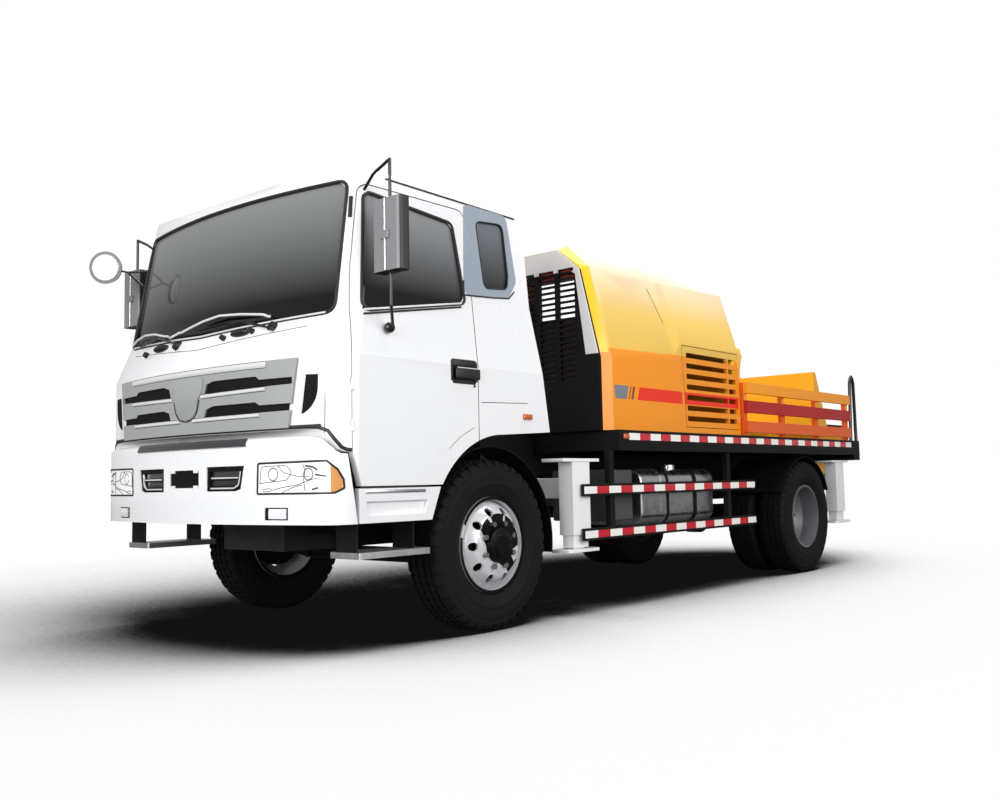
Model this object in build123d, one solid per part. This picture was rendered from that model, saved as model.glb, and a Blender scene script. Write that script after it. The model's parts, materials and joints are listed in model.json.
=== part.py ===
"""Truck-mounted concrete line pump: a two-axle tilt-cab truck with a pump set on its flat deck.

Millimetres. X runs across the truck, + to its left, and Z is up from the ground. While the pieces
are built, Y runs aft from the front axle, so a place along the truck is a station. The export then
moves everything by ORIGIN_SHIFT, which puts the origin on the ground under the truck's middle.
"""
import os
from math import asin, cos, degrees, pi, radians, sin, sqrt

from build123d import *

# ---- driving dimensions ----------------------------------------------------------------------
FRONT_END = -1436           # foremost point, the bumper's crown
WHEELBASE = 4500
REAR_OVERHANG = 2436        # rear axle to the hopper's rim
REAR_END = WHEELBASE + REAR_OVERHANG
ORIGIN_SHIFT = -(FRONT_END + REAR_END) / 2
HALF_WIDTH = 1230           # half the deck
SEAT_GAP = 0.3              # clearance of a piece at its seat
RUN_GAP = 6                 # clearance beside a piece that moves

# wheels and tyres
TYRE_R = 527
TYRE_W = 275
RIM_SEAT_R = 285            # where the tyre's bead sits
RIM_FLANGE_R = 297.5
RIM_HALF_W = 118
RIM_LIP = 12
RIM_WALL = 8
DISC_OFFSET = 160           # tyre's middle plane to the disc's convex face
DISC_T = 12
HUB_BORE_R = 110.5
STUD_PCD = 275
STUD_COUNT = 8
HAND_HOLE_R = 26
HAND_HOLE_PCD = 420
HAND_HOLE_COUNT = 10
FRONT_WHEEL_X = 1025        # middle plane of a front tyre
TWIN_X = 928                # plane where the discs of a twin pair meet
KINGPIN_X = 945
KINGPIN_R = 24
SPINDLE_R = 38
DRUM_R = 205

# frame
RAIL_X = 430                # outer face of a rail
RAIL_T = 8
RAIL_FLANGE = 80
RAIL_LOW = 700
RAIL_TOP = 950
RAIL_FRONT = -1300
RAIL_REAR = WHEELBASE + 1250
SUBFRAME_TOP = 1120
SUBFRAME_FRONT = 700

# cab
CAB_HALF_W = 1190
CAB_FRONT = -1405
CAB_REAR = 560
CAB_WALL = 45
FRONT_LIP_T = 12            # the front wall below the floor, thin so that it swings over the bumper
CROWN_R = 4545              # plan radius of the cab's and bumper's front
CAB_CORNER_R = 165
FLOOR_LOW = 1185
FLOOR_T = 45
CAB_TOP = 2800
CAB_LOW_FRONT = 1216        # lower edge of the cab's front, above the bumper
CAB_LOW_SIDE = 1087         # its lower edge just before the door
# (height, set-back of the front, lean-in of each side, corner radius); the walls run straight between the rows
CAB_ROWS = ((700, 0, 0, CAB_CORNER_R), (1615, 0, 0, CAB_CORNER_R), (1860, 107, 25, 125), (2900, 299, 131, 110))
LIP_REAR = -1296            # the floor is thin ahead of this, to swing over the bumper
GLASS_T = 6
GLASS_INSET = 12
DOOR_FRONT = -1165
DOOR_REAR = -165
DOOR_HEEL = 55              # set-back of the door's lower front corner
DOOR_LOW = 905
DOOR_TOP = CAB_TOP - 200
DOOR_GAP = 6
ARCH_Y, ARCH_Z, ARCH_R = 67, 545, 662
TILT_Y, TILT_Z = -1348, 1080   # the cab's tilt hinge
TILT_PIN_R = 18
TILT_EYE_R = 30
TILT_ARM_IN, TILT_ARM_OUT = 360, 440

# bumper
CORNER_Y = FRONT_END + CROWN_R - sqrt(CROWN_R ** 2 - CAB_HALF_W ** 2)    # where the crown would meet the side
LAMP_REAR = CORNER_Y + 100
BUMPER_WALL = 30
BUMPER_LOW = 705
BUMPER_TOP = 1185
BUMPER_REAR = CORNER_Y + 137     # at its lower edge

# deck, hood and pump
DECK_FRONT = 1300
DECK_REAR = WHEELBASE + 1380
DECK_TOP = 1270
DECK_PLATE = 12
HOOD_FRONT = 1270
HOOD_REAR = 3320
HOOD_WALL = 30
HOOD_BASE = DECK_TOP + SEAT_GAP
HOOD_HALF_W = 1160
LID_FRONT, LID_REAR = 2350, 3290      # louvred service doors in the hood's sides
LID_LOW, LID_TOP = 1325, 1980
PUMP_Z = 1540
HOPPER_FRONT = DECK_REAR + 10
HOPPER_RIM = 1450
HOPPER_HALF_W = 750
HOPPER_WALL = 12
AGITATOR_Y, AGITATOR_Z = HOPPER_FRONT + 540, 1120
GRATE_PIN_Y, GRATE_PIN_Z, GRATE_PIN_R = HOPPER_FRONT + 40, HOPPER_RIM + 17, 10

# jacks
JACK_STATIONS = (895, WHEELBASE + 940)
JACK_X = 1120
JACK_W, JACK_L = 120, 200   # across and along the truck
JACK_WALL = 8
JACK_TOP = 1050
JACK_LOW = 540


# ---- small helpers ---------------------------------------------------------------------------
def block(x0, x1, y0, y1, z0, z1):
    return Pos((x0 + x1) / 2, (y0 + y1) / 2, (z0 + z1) / 2) * Box(abs(x1 - x0), abs(y1 - y0), abs(z1 - z0))


def rod_x(x0, x1, y, z, r):
    return Pos((x0 + x1) / 2, y, z) * Rot(0, 90, 0) * Cylinder(r, abs(x1 - x0))


def rod_y(x, y0, y1, z, r):
    return Pos(x, (y0 + y1) / 2, z) * Rot(90, 0, 0) * Cylinder(r, abs(y1 - y0))


def rod_z(x, y, z0, z1, r):
    return Pos(x, y, (z0 + z1) / 2) * Cylinder(r, abs(z1 - z0))


def face_of(points):
    return make_face(Polyline(*points, close=True))


def along_x(outline, x0, x1):
    """A face drawn as (station, height), extruded across the truck."""
    return extrude(Plane.YZ.offset(x0) * outline, x1 - x0)


def along_y(outline, y0, y1):
    """A face drawn as (x, height), extruded aft from y0 to y1."""
    return extrude(Plane((0, y1, 0), x_dir=(1, 0, 0), z_dir=(0, -1, 0)) * outline, y1 - y0)


def along_z(outline, z0, z1):
    """A face drawn as (x, station), extruded up from z0 to z1."""
    return extrude(Plane.XY.offset(z0) * outline, z1 - z0)


def both(shape):
    """The piece on the truck's left and its mirror image on the right, as separate solids."""
    return Compound(children=[*shape.solids(), *mirror(shape, Plane.YZ).solids()])


def fused_both(shape):
    return shape + mirror(shape, Plane.YZ)


def tube_run(points, r):
    """A round bar through the points, with a ball at each bend."""
    bar = None
    for start, end in zip(points, points[1:]):
        run = Vector(*end) - Vector(*start)
        piece = extrude(Plane(start, z_dir=run) * Circle(r), run.length)
        bar = piece if bar is None else bar + piece
    for bend in points[1:-1]:
        bar += Pos(*bend) * Sphere(r)
    return bar


def written(nodes):
    os.makedirs("parts", exist_ok=True)
    for name, shape in nodes.items():
        solids = [Pos(0, ORIGIN_SHIFT, 0) * solid for solid in shape.solids()]
        export_step(solids[0] if len(solids) == 1 else Compound(children=solids), f"parts/{name}.step")


# ---- wheels ----------------------------------------------------------------------------------
def turned(points, x0, station=0, side=1):
    """Turns a (width, radius) outline about the wheel's axle; side -1 faces the other way."""
    outline = face_of([(x0 + side * a, r) for a, r in points])
    solid = revolve(Plane.XY * outline, Axis.X)
    return Pos(0, station, TYRE_R) * solid


def tyre(x0, station):
    bead = RIM_HALF_W - RIM_LIP - SEAT_GAP
    bore = RIM_SEAT_R + SEAT_GAP
    half = TYRE_W / 2
    edge = [(-bead, bore), (-bead, RIM_FLANGE_R + 6), (-half + 8, 345), (-half, 405), (-half + 4, 455),
            (-half + 14, TYRE_R - 26), (-half + 30, TYRE_R - 6), (-half + 48, TYRE_R)]
    return turned(edge + [(-a, r) for a, r in reversed(edge)], x0, station)


def rim(x0, station, side):
    """Barrel and dished disc; side is the way the disc's convex face looks."""
    barrel_in = RIM_SEAT_R - RIM_WALL
    lip = RIM_HALF_W - RIM_LIP
    barrel = turned([(-RIM_HALF_W, RIM_FLANGE_R), (-lip, RIM_FLANGE_R), (-lip, RIM_SEAT_R), (lip, RIM_SEAT_R),
                     (lip, RIM_FLANGE_R), (RIM_HALF_W, RIM_FLANGE_R), (RIM_HALF_W, barrel_in),
                     (-RIM_HALF_W, barrel_in)], x0, station)
    face, back = DISC_OFFSET, DISC_OFFSET - DISC_T
    disc = turned([(35, barrel_in + 2), (52, barrel_in + 2), (112, 246), (face - 8, 208), (face, 192),
                   (face, HUB_BORE_R), (back, HUB_BORE_R), (back, 186), (back - 8, 199), (96, 238)],
                  x0, station, side)
    holes = [Pos(0, station, TYRE_R) * Rot(360 / HAND_HOLE_COUNT * n, 0, 0)
             * Pos(x0 + side * 115, HAND_HOLE_PCD / 2, 0) * Rot(0, 90, 0) * Cylinder(HAND_HOLE_R, 160)
             for n in range(HAND_HOLE_COUNT)]
    for hole in holes:
        disc -= hole
    return barrel + disc


def studs(x0, x1, station):
    return [Pos(0, station, TYRE_R) * Rot(360 / STUD_COUNT * (n + 0.5), 0, 0)
            * Pos((x0 + x1) / 2, STUD_PCD / 2, 0) * Rot(0, 90, 0) * extrude(RegularPolygon(17, 6), (x1 - x0) / 2, both=True)
            for n in range(STUD_COUNT)]


def front_wheel_metal():
    """Rim, hub, brake drum and nuts of the left front wheel, which turn together."""
    face = FRONT_WHEEL_X + DISC_OFFSET
    hub = turned([(KINGPIN_X + 60, SPINDLE_R + SEAT_GAP), (KINGPIN_X + 60, DRUM_R), (face - DISC_T - 60, DRUM_R),
                  (face - DISC_T - 45, 175), (face - DISC_T, 170), (face - DISC_T, HUB_BORE_R - SEAT_GAP),
                  (face + 26, HUB_BORE_R - 6), (face + 30, 70), (face + 38, 62), (face + 38, 0),
                  (face + 8, 0), (face + 8, SPINDLE_R + SEAT_GAP)], 0)
    wheel = rim(FRONT_WHEEL_X, 0, 1) + hub
    for nut in studs(face - 2, face + 24, 0):
        wheel += nut
    return wheel


def rear_wheel_metal():
    """Two rims back to back on one hub with its drum, left side."""
    hub = turned([(700, 60 + SEAT_GAP), (700, DRUM_R), (TWIN_X - 60, DRUM_R), (TWIN_X - 45, 180), (TWIN_X - DISC_T, 175),
                  (TWIN_X - DISC_T, HUB_BORE_R - SEAT_GAP), (TWIN_X + 70, HUB_BORE_R - 12), (TWIN_X + 80, 90),
                  (TWIN_X + 110, 84), (TWIN_X + 116, 76), (TWIN_X + 116, 0), (TWIN_X + 96, 0),
                  (TWIN_X + 96, 60 + SEAT_GAP)], 0, WHEELBASE)
    wheel = rim(TWIN_X + DISC_OFFSET, WHEELBASE, -1) + rim(TWIN_X - DISC_OFFSET, WHEELBASE, 1) + hub
    for nut in studs(TWIN_X - DISC_T + 2, TWIN_X + DISC_T + 26, WHEELBASE):
        wheel += nut
    return wheel


def rear_tyres():
    pair = [*tyre(TWIN_X + DISC_OFFSET, WHEELBASE).solids(), *tyre(TWIN_X - DISC_OFFSET, WHEELBASE).solids()]
    return Compound(children=pair)


# ---- running gear ----------------------------------------------------------------------------
def leaf_spring(x, station, axle_top, eye_z, half_length, half_w=38):
    """Stacked leaves on one centre of curvature, each shorter than the one above, with end eyes."""
    leaf_t, count, step = 14, 4, 0.2
    rise = eye_z - (axle_top + leaf_t * (count - 1))
    bend = (half_length ** 2 + rise ** 2) / (2 * rise)
    centre_z = eye_z - rise + bend
    pack = None
    for n in range(count):
        reach = half_length * (1 - step * n)
        inner, outer = bend + leaf_t * (n - 1), bend + leaf_t * n
        sweep_a = [(reach / inner) * k for k in (-1, 0, 1)]
        over = ThreePointArc(*[(station + inner * sin(a), centre_z - inner * cos(a)) for a in sweep_a])
        under = ThreePointArc(*[(station + outer * sin(a), centre_z - outer * cos(a)) for a in reversed(sweep_a)])
        leaf = along_x(make_face([over, under, Line(over @ 1, under @ 0), Line(under @ 1, over @ 0)]), x - half_w, x + half_w)
        pack = leaf if pack is None else pack + leaf
    for end in (-1, 1):
        eye_y = station + end * half_length
        pack += rod_x(x - half_w, x + half_w, eye_y, eye_z + 8, 26)
        pack += block(x - half_w, x + half_w, eye_y - 22, eye_y + 22, eye_z + 8, RAIL_LOW - SEAT_GAP)
    return pack


def front_axle():
    """Dropped I-beam with its kingpin bosses and leaf springs."""
    low, high = 395, 485
    beam = block(-620, 620, -50, 50, low, low + 18) + block(-620, 620, -50, 50, high - 18, high)
    beam += block(-620, 620, -12, 12, low, high)
    riser = along_y(face_of([(600, low), (620, low), (KINGPIN_X - 20, 470), (KINGPIN_X - 20, 590), (820, 590),
                             (600, high)]), -40, 40)
    boss = rod_z(KINGPIN_X, 0, 455, 600, 44) - rod_z(KINGPIN_X, 0, 450, 610, KINGPIN_R + SEAT_GAP)
    end = riser - rod_z(KINGPIN_X, 0, 450, 610, 43) + boss
    seat = block(RAIL_X - 78, RAIL_X - 2, -70, 70, high, 530)
    spring = leaf_spring(RAIL_X - 40, 0, 530, 640, 740)
    return beam + fused_both(end + seat + spring)


def knuckle():
    """Left steering knuckle: a yoke on the kingpin, the stub axle and the steering arm."""
    yoke = block(KINGPIN_X - 50, KINGPIN_X + 60, -50, 50, 606, 632) + block(KINGPIN_X - 50, KINGPIN_X + 60, -50, 50, 423, 449)
    yoke += block(KINGPIN_X + 50 + RUN_GAP - 6, KINGPIN_X + 58, -60, 60, 423, 632)
    yoke += rod_z(KINGPIN_X, 0, 423, 632, KINGPIN_R)
    stub = rod_x(KINGPIN_X + 54, FRONT_WHEEL_X + DISC_OFFSET, 0, TYRE_R, SPINDLE_R)
    arm = block(KINGPIN_X - 40, KINGPIN_X - 8, 40, 190, 425, 447)
    return yoke + stub + arm


def rear_axle():
    """Banjo housing with its tubes and leaf springs."""
    tube = rod_x(-TWIN_X - 90, TWIN_X + 90, WHEELBASE, TYRE_R, 60)
    bowl = Pos(0, WHEELBASE, TYRE_R) * Rot(0, 90, 0) * revolve(
        Plane.XZ * face_of([(0, -150), (120, -150), (175, -70), (175, 70), (120, 150), (0, 150)]), Axis.Z)
    nose = rod_y(0, WHEELBASE - 330, WHEELBASE, TYRE_R + 30, 80)
    seat = block(RAIL_X - 78, RAIL_X - 2, WHEELBASE - 80, WHEELBASE + 80, TYRE_R + 20, 593)
    spring = leaf_spring(RAIL_X - 40, WHEELBASE, 592, 664, 760)
    return tube + bowl + nose + fused_both(seat + spring)


def frame_rails():
    """Two channel rails with cross-members, the cab's tilt brackets and its rear rest."""
    length = (RAIL_FRONT, RAIL_REAR)
    rail = block(RAIL_X - RAIL_T, RAIL_X, *length, RAIL_LOW, RAIL_TOP)
    rail += block(RAIL_X - RAIL_FLANGE, RAIL_X, *length, RAIL_LOW, RAIL_LOW + RAIL_T)
    rail += block(RAIL_X - RAIL_FLANGE, RAIL_X, *length, RAIL_TOP - RAIL_T, RAIL_TOP)
    eye = face_of([(RAIL_FRONT + 160, RAIL_TOP), (RAIL_FRONT + 10, RAIL_TOP), (TILT_Y - 20, TILT_Z - 20),
                   (TILT_Y + 20, TILT_Z + 22), (RAIL_FRONT + 160, RAIL_TOP + 30)])
    for x0, x1 in ((TILT_ARM_IN - 15, TILT_ARM_IN - 5), (TILT_ARM_OUT + 5, TILT_ARM_OUT + 15)):
        rail += along_x(eye, x0, x1) + rod_x(x0, x1, TILT_Y, TILT_Z, TILT_EYE_R)
        rail += block(x0, x1, RAIL_FRONT + 12, RAIL_FRONT + 160, RAIL_TOP - 60, RAIL_TOP)
    rail += block(TILT_ARM_IN - 15, TILT_ARM_OUT + 15, RAIL_FRONT + 12, RAIL_FRONT + 160, RAIL_TOP - 60, RAIL_TOP - 50)
    rail += rod_x(TILT_ARM_IN - 10, TILT_ARM_OUT + 10, TILT_Y, TILT_Z, TILT_PIN_R)
    rail += block(RAIL_X - 60, RAIL_X, 390, 450, RAIL_TOP, FLOOR_LOW - SEAT_GAP)
    rails = fused_both(rail)
    for station in (-1230, 1050, 2000, 3000, WHEELBASE - 600, WHEELBASE + 800, RAIL_REAR - 50):
        rails += block(-RAIL_X + 4, RAIL_X - 4, station - 35, station + 35, 770, 890)
    return rails


def engine():
    """Truck's engine and gearbox as plain blocks, with the propeller shaft to the rear axle."""
    block_low = 520
    body = block(-310, 310, -950, 150, block_low, 1130) + block(-190, 190, 150, 900, 600, 930)
    for station in (-700, 0):
        body += block(-RAIL_X + RAIL_T + SEAT_GAP, RAIL_X - RAIL_T - SEAT_GAP, station - 30, station + 30, 735, 775)
    start, end = Vector(0, 890, 720), Vector(0, WHEELBASE - 330 - SEAT_GAP, TYRE_R + 30)
    run = end - start
    return body + extrude(Plane(start, z_dir=run) * Circle(45), run.length - 5)


def mudguards():
    """Half-round guards over all the wheels, on stays."""
    def guard(station, x0, x1, r, front_deg, rear_deg):
        ring = Pos(0, station, TYRE_R) * Rot(0, 90, 0) * (Cylinder(r + 6, 2 * x1) - Cylinder(r, 2 * x1 + 2))
        keep = [(0, 0)]
        steps = 8
        for n in range(steps + 1):
            turn = radians(front_deg + (rear_deg - front_deg) * n / steps)
            keep.append((-2 * r * cos(turn), 2 * r * sin(turn)))
        wedge = Pos(0, station, TYRE_R) * along_x(face_of(keep), x0, x1)
        return ring & wedge

    stay_turn = radians(35)
    front_r, rear_r = 603, 562
    front = guard(0, 870, 1140, front_r, 17, 188)
    for end in (-1, 1):
        front += rod_x(RAIL_X + SEAT_GAP, 880, end * (front_r + 3) * cos(stay_turn), TYRE_R + (front_r + 3) * sin(stay_turn), 14)
    rear = guard(WHEELBASE, 628, HALF_WIDTH - 8, rear_r, 25, 155)
    rear += block(900, 950, WHEELBASE - 187, WHEELBASE - 127, TYRE_R + rear_r - 40, SUBFRAME_TOP - SEAT_GAP) - rod_x(800, 1000, WHEELBASE, TYRE_R, rear_r + 2)
    return both(front + rear)


# ---- cab -------------------------------------------------------------------------------------
def plan_outline(front, half_w, corner_r, rear, inset=0):
    """Plan of the cab or bumper: a crowned front, round corners and straight sides."""
    crown = CROWN_R - inset
    side = half_w - inset
    tip = front + inset
    edge_y = tip + crown - sqrt(crown ** 2 - side ** 2)
    arc = ThreePointArc((-side, edge_y), (0, tip), (side, edge_y))
    back = Polyline((side, edge_y), (side, rear - inset), (-side, rear - inset), (-side, edge_y))
    face = make_face([arc, back])
    corners = face.vertices().sort_by(Axis.Y)[0:2]
    return fillet(corners, corner_r - inset)


def row_at(z):
    """Set-back, lean-in and corner radius of the cab's walls at a height, between two rows."""
    for low, high in zip(CAB_ROWS, CAB_ROWS[1:]):
        if z <= high[0]:
            share = (z - low[0]) / (high[0] - low[0])
            return [a + (b - a) * share for a, b in zip(low[1:], high[1:])]
    return list(CAB_ROWS[-1][1:])


def front_y(x, z):
    """Station of the cab's crowned front at a place across and up."""
    return CAB_FRONT + row_at(z)[0] + CROWN_R - sqrt(CROWN_R ** 2 - x ** 2)


def cab_side(inset=0):
    """Side view that rounds the cab's roof and cuts its raised rear wall."""
    t = inset
    brow = CAB_TOP - 160
    return face_of([(CAB_FRONT - 50, 700), (CAB_FRONT - 50, brow), (front_y(0, brow) + 0.9 * t, brow),
                    (-1085 + 0.7 * t, CAB_TOP - 85 - 0.7 * t), (-950 + 0.4 * t, CAB_TOP - 30 - 0.9 * t), (-700, CAB_TOP - t),
                    (250, CAB_TOP - t), (415 - t, CAB_TOP - 60 - t), (405 - t, 2050), (540 - t, 1240), (545 - t, 700)])


def cab_front_view(inset=0):
    """Front view that rounds the edges of the roof."""
    t = inset
    wide = CAB_HALF_W + 60
    half = [(wide, 700), (wide, CAB_TOP - 500), (CAB_HALF_W - 102 - t, CAB_TOP - 180), (CAB_HALF_W - 140 - t, CAB_TOP - 100 - t),
            (CAB_HALF_W - 260 - t, CAB_TOP - 38 - t), (500, CAB_TOP - t)]
    return face_of(half + [(-x, z) for x, z in reversed(half)])


def cab_plan(row, inset=0):
    z, set_back, lean_in, corner_r = row
    return Pos(0, 0, z) * plan_outline(CAB_FRONT + set_back, CAB_HALF_W - lean_in, corner_r, CAB_REAR, inset)


def cab_body(inset=0):
    """The cab's closed form: plan outlines lofted from row to row, under the roof's rounding."""
    walls = None
    for low, high in zip(CAB_ROWS, CAB_ROWS[1:]):
        stage = loft([cab_plan(low, inset), cab_plan(high, inset)], ruled=True)
        walls = stage if walls is None else walls + stage
    side = along_x(cab_side(inset), -CAB_HALF_W - 50, CAB_HALF_W + 50)
    return walls & side & along_y(cab_front_view(inset), CAB_FRONT - 100, 700)


def door_outline(grow=0):
    """Door from the side: its front edge leans back with the screen, and again below the waist of the bumper."""
    g = grow
    low, top = DOOR_LOW - g, DOOR_TOP + g
    front, rear = DOOR_FRONT - g, DOOR_REAR + g
    outline = face_of([(front + DOOR_HEEL, low), (rear, low), (rear, top), (front + 157, top), (front + 62, 2090), (front, 1615),
                       (front, CAB_LOW_SIDE)])
    return fillet(outline.vertices().group_by(Axis.Y)[-1], 62 + g)


def door_window():
    outline = face_of([(-1071, 1868), (-232, 2010), (-290, CAB_TOP - 305), (-985, CAB_TOP - 247)])
    return fillet(outline.vertices().sort_by(Axis.X)[-2:], 60)


def quarter_window():
    outline = face_of([(-120, 2085), (215, 2150), (215, CAB_TOP - 190), (-120, CAB_TOP - 240)])
    return fillet(outline.vertices(), 55)


def screen_outline():
    low, high = (CAB_HALF_W - 146, 1862), (CAB_HALF_W - 182, CAB_TOP - 183)
    outline = face_of([(0, low[1] - 40), low, high, (-high[0], high[1]), (-low[0], low[1])])
    return fillet([v for v in outline.vertices() if abs(v.X) > 500], 62)


def rear_window():
    return fillet(face_of([(-520, 2050), (520, 2050), (520, CAB_TOP - 320), (-520, CAB_TOP - 320)]).vertices(), 60)


def cab_windows(reach=60):
    """The cutters of every fixed window of the cab."""
    screen = along_y(screen_outline(), CAB_FRONT - reach, -960)
    back = along_y(rear_window(), 300, 600)
    quarter = along_x(quarter_window(), 900, CAB_HALF_W + reach)
    return screen, back, fused_both(quarter)


def arch_cutter(grow=0):
    return rod_x(-CAB_HALF_W - 60, CAB_HALF_W + 60, ARCH_Y, ARCH_Z, ARCH_R + grow)


def skirt_edge():
    """Everything of the cab that hangs lower than its front and rear edges, as a cutter below them."""
    low = 700
    before_door = DOOR_FRONT - DOOR_GAP / 2
    edge = [(CAB_FRONT - 100, low), (CAB_FRONT - 100, CAB_LOW_FRONT), (-1290, CAB_LOW_FRONT), (-1276, CAB_LOW_FRONT - 18), (-1256, 1150),
            (-1230, 1104), (-1205, CAB_LOW_SIDE + 4), (before_door, CAB_LOW_SIDE), (before_door + DOOR_HEEL, DOOR_LOW),
            (before_door + DOOR_HEEL, DOOR_LOW - DOOR_GAP),
            (-400, DOOR_LOW - DOOR_GAP), (-400, 1000), (ARCH_Y, 1170), (ARCH_Y, ARCH_Z + ARCH_R), (600, 1236), (600, low)]
    return along_x(face_of(edge), -CAB_HALF_W - 60, CAB_HALF_W + 60)


def cab_skin():
    """The cab's wall all round, with doors still in it."""
    shell = cab_body()
    cabin = cab_body(CAB_WALL) & block(-1300, 1300, -1500, 700, FLOOR_LOW + FLOOR_T, CAB_TOP + 100)
    under = along_z(cab_plan(CAB_ROWS[0], CAB_WALL), 0, FLOOR_LOW - 700)
    lip = along_z(cab_plan(CAB_ROWS[0], FRONT_LIP_T), 0, CAB_LOW_FRONT - 700)
    under += lip & block(-1300, 1300, -1500, LIP_REAR, 700, CAB_LOW_FRONT)
    return shell - cabin - under - skirt_edge() - arch_cutter()


HINGE_R, HINGE_PIN_R = 9, 5


def hinge_barrels(x, station, z_low):
    """One hinge: fixed barrel with its pin, moving barrel above it, the pin's bore, and what clears each barrel."""
    mid, top = z_low + 30, z_low + 60
    bore = rod_z(x, station, z_low, top + 5, HINGE_PIN_R + SEAT_GAP)
    fixed = rod_z(x, station, z_low, mid - SEAT_GAP, HINGE_R) + rod_z(x, station, z_low, top, HINGE_PIN_R)
    moving = rod_z(x, station, mid, top, HINGE_R)
    clear_moving = rod_z(x, station, mid - SEAT_GAP, top + 5, HINGE_R + 3)
    clear_fixed = rod_z(x, station, z_low - 5, mid, HINGE_R + 3)
    return fixed, moving, bore, clear_moving, clear_fixed


DOOR_HINGES = [hinge_barrels(CAB_HALF_W - 3, DOOR_FRONT - DOOR_GAP / 2, z) for z in (1200, 1420)]
LID_HINGES = [hinge_barrels(HOOD_HALF_W, LID_REAR + RUN_GAP / 2, z) for z in (1380, 1860)]


def with_fixed(shape, hinges):
    """The fixed piece on both sides, notched for the moving barrels and given its own."""
    for fixed, moving, bore, clear_moving, clear_fixed in hinges:
        shape = shape - fused_both(clear_moving) + fused_both(fixed)
    return shape


def with_moving(leaf, hinges):
    for fixed, moving, bore, clear_moving, clear_fixed in hinges:
        leaf = leaf - clear_fixed + moving - bore
    return leaf


def cab_shell(skin):
    shell = skin
    door_space = along_x(door_outline(DOOR_GAP), CAB_HALF_W - 160, CAB_HALF_W + 60)
    shell -= fused_both(door_space)
    for window in cab_windows():
        shell -= window
    shell -= block(-780, 780, CAB_FRONT - 60, CAB_FRONT + 150, 1270, 1560)
    return with_fixed(shell, DOOR_HINGES)


def door(skin):
    """Left door: the slice of the cab's wall inside the door's outline, with its window cut."""
    leaf = skin & along_x(door_outline(), CAB_HALF_W - 160, CAB_HALF_W + 60)
    leaf -= block(0, CAB_HALF_W - 155, -1300, 0, FLOOR_LOW - 10, FLOOR_LOW + FLOOR_T + 30)
    leaf -= block(0, CAB_HALF_W - CAB_WALL, -1300, 0, 800, FLOOR_LOW + FLOOR_T + 8)
    window = along_x(door_window(), CAB_HALF_W - 200, CAB_HALF_W + 60)
    pull = block(CAB_HALF_W - 14, CAB_HALF_W + 20, -395, -182, 1512, 1612)
    return with_moving(leaf - window - pull, DOOR_HINGES)


def pane(outline_solid):
    layer = cab_body(GLASS_INSET) - cab_body(GLASS_INSET + GLASS_T)
    return layer & outline_solid


def cab_hinge():
    """Two arms under the floor that carry the cab on its tilt pins."""
    arm = face_of([(TILT_Y, TILT_Z - TILT_EYE_R + 2), (-1080, 1160), (-1080, FLOOR_LOW - SEAT_GAP), (-1250, FLOOR_LOW - SEAT_GAP),
                   (TILT_Y - 21, TILT_Z + 18)])
    piece = along_x(arm, TILT_ARM_IN, TILT_ARM_OUT) + rod_x(TILT_ARM_IN, TILT_ARM_OUT, TILT_Y, TILT_Z, TILT_EYE_R - 2)
    piece -= rod_x(TILT_ARM_IN - 5, TILT_ARM_OUT + 5, TILT_Y, TILT_Z, TILT_PIN_R + SEAT_GAP)
    return both(piece)


GRILLE_LOW, GRILLE_TOP = 1226, 1605
GRILLE_HALF_LOW, GRILLE_HALF_TOP = 855, 916
GRILLE_BACK_T, GRILLE_T = 5, 13


def front_layer(inner, outer, z0, z1):
    """A plate that follows the cab's crowned front, between two distances in front of it."""
    thick = along_z(plan_outline(CAB_FRONT - outer, CAB_HALF_W, CAB_CORNER_R, CAB_REAR), z0, z1)
    thin = along_z(plan_outline(CAB_FRONT - inner, CAB_HALF_W, CAB_CORNER_R, CAB_REAR), z0 - 5, z1 + 5)
    return (thick - thin) & block(-1300, 1300, CAB_FRONT - 100, -1150, z0, z1)


def grille_outline(shrink=0):
    s = shrink
    return face_of([(-GRILLE_HALF_LOW + s, GRILLE_LOW + s), (GRILLE_HALF_LOW - s, GRILLE_LOW + s),
                    (GRILLE_HALF_TOP - s, GRILLE_TOP - s), (-GRILLE_HALF_TOP + s, GRILLE_TOP - s)])


def grille_slots():
    """Two stepped slots each side of the blank centre shield: low edge, tall part, thin part."""
    slots = None
    # (low edge at the shield, rise outward, tall height, thin height)
    for low, rise, tall, thin in ((1452, 14, 70, 36), (1317, 5, 61, 38)):
        outline = face_of([(175, low), (885, low + rise), (885, low + rise + thin), (648, low + rise + thin),
                           (618, low + tall), (260, low + tall), (195, low + tall - 16)])
        slots = outline if slots is None else slots + outline
    return slots


def grille():
    plate = front_layer(GRILLE_BACK_T + SEAT_GAP, GRILLE_BACK_T + GRILLE_T, GRILLE_LOW - 5, GRILLE_TOP + 5)
    plate &= along_y(grille_outline(), CAB_FRONT - 100, -1150)
    slot = along_y(grille_slots(), CAB_FRONT - 100, -1150)
    return plate - fused_both(slot)


def corner_lens_outline():
    """Slim lens beside the grille, with a curved lower outer edge."""
    tip, heel, low = (1043, 1508), (968, 1511), (938, 1300)
    sweep = ThreePointArc(low, (1015, 1358), (1041, 1440))
    return make_face([sweep, Polyline((1041, 1440), tip, heel, low)])


def grille_backing():
    """Black pieces on the cab's front: the panel behind the grille and the two corner lenses."""
    plate = front_layer(SEAT_GAP, GRILLE_BACK_T, GRILLE_LOW, GRILLE_TOP) & along_y(grille_outline(20), CAB_FRONT - 100, -1150)
    lens = front_layer(SEAT_GAP, GRILLE_BACK_T, 1295, 1515) & along_y(corner_lens_outline(), CAB_FRONT - 100, -1150)
    return Compound(children=[*plate.solids(), *both(lens).solids()])


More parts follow.
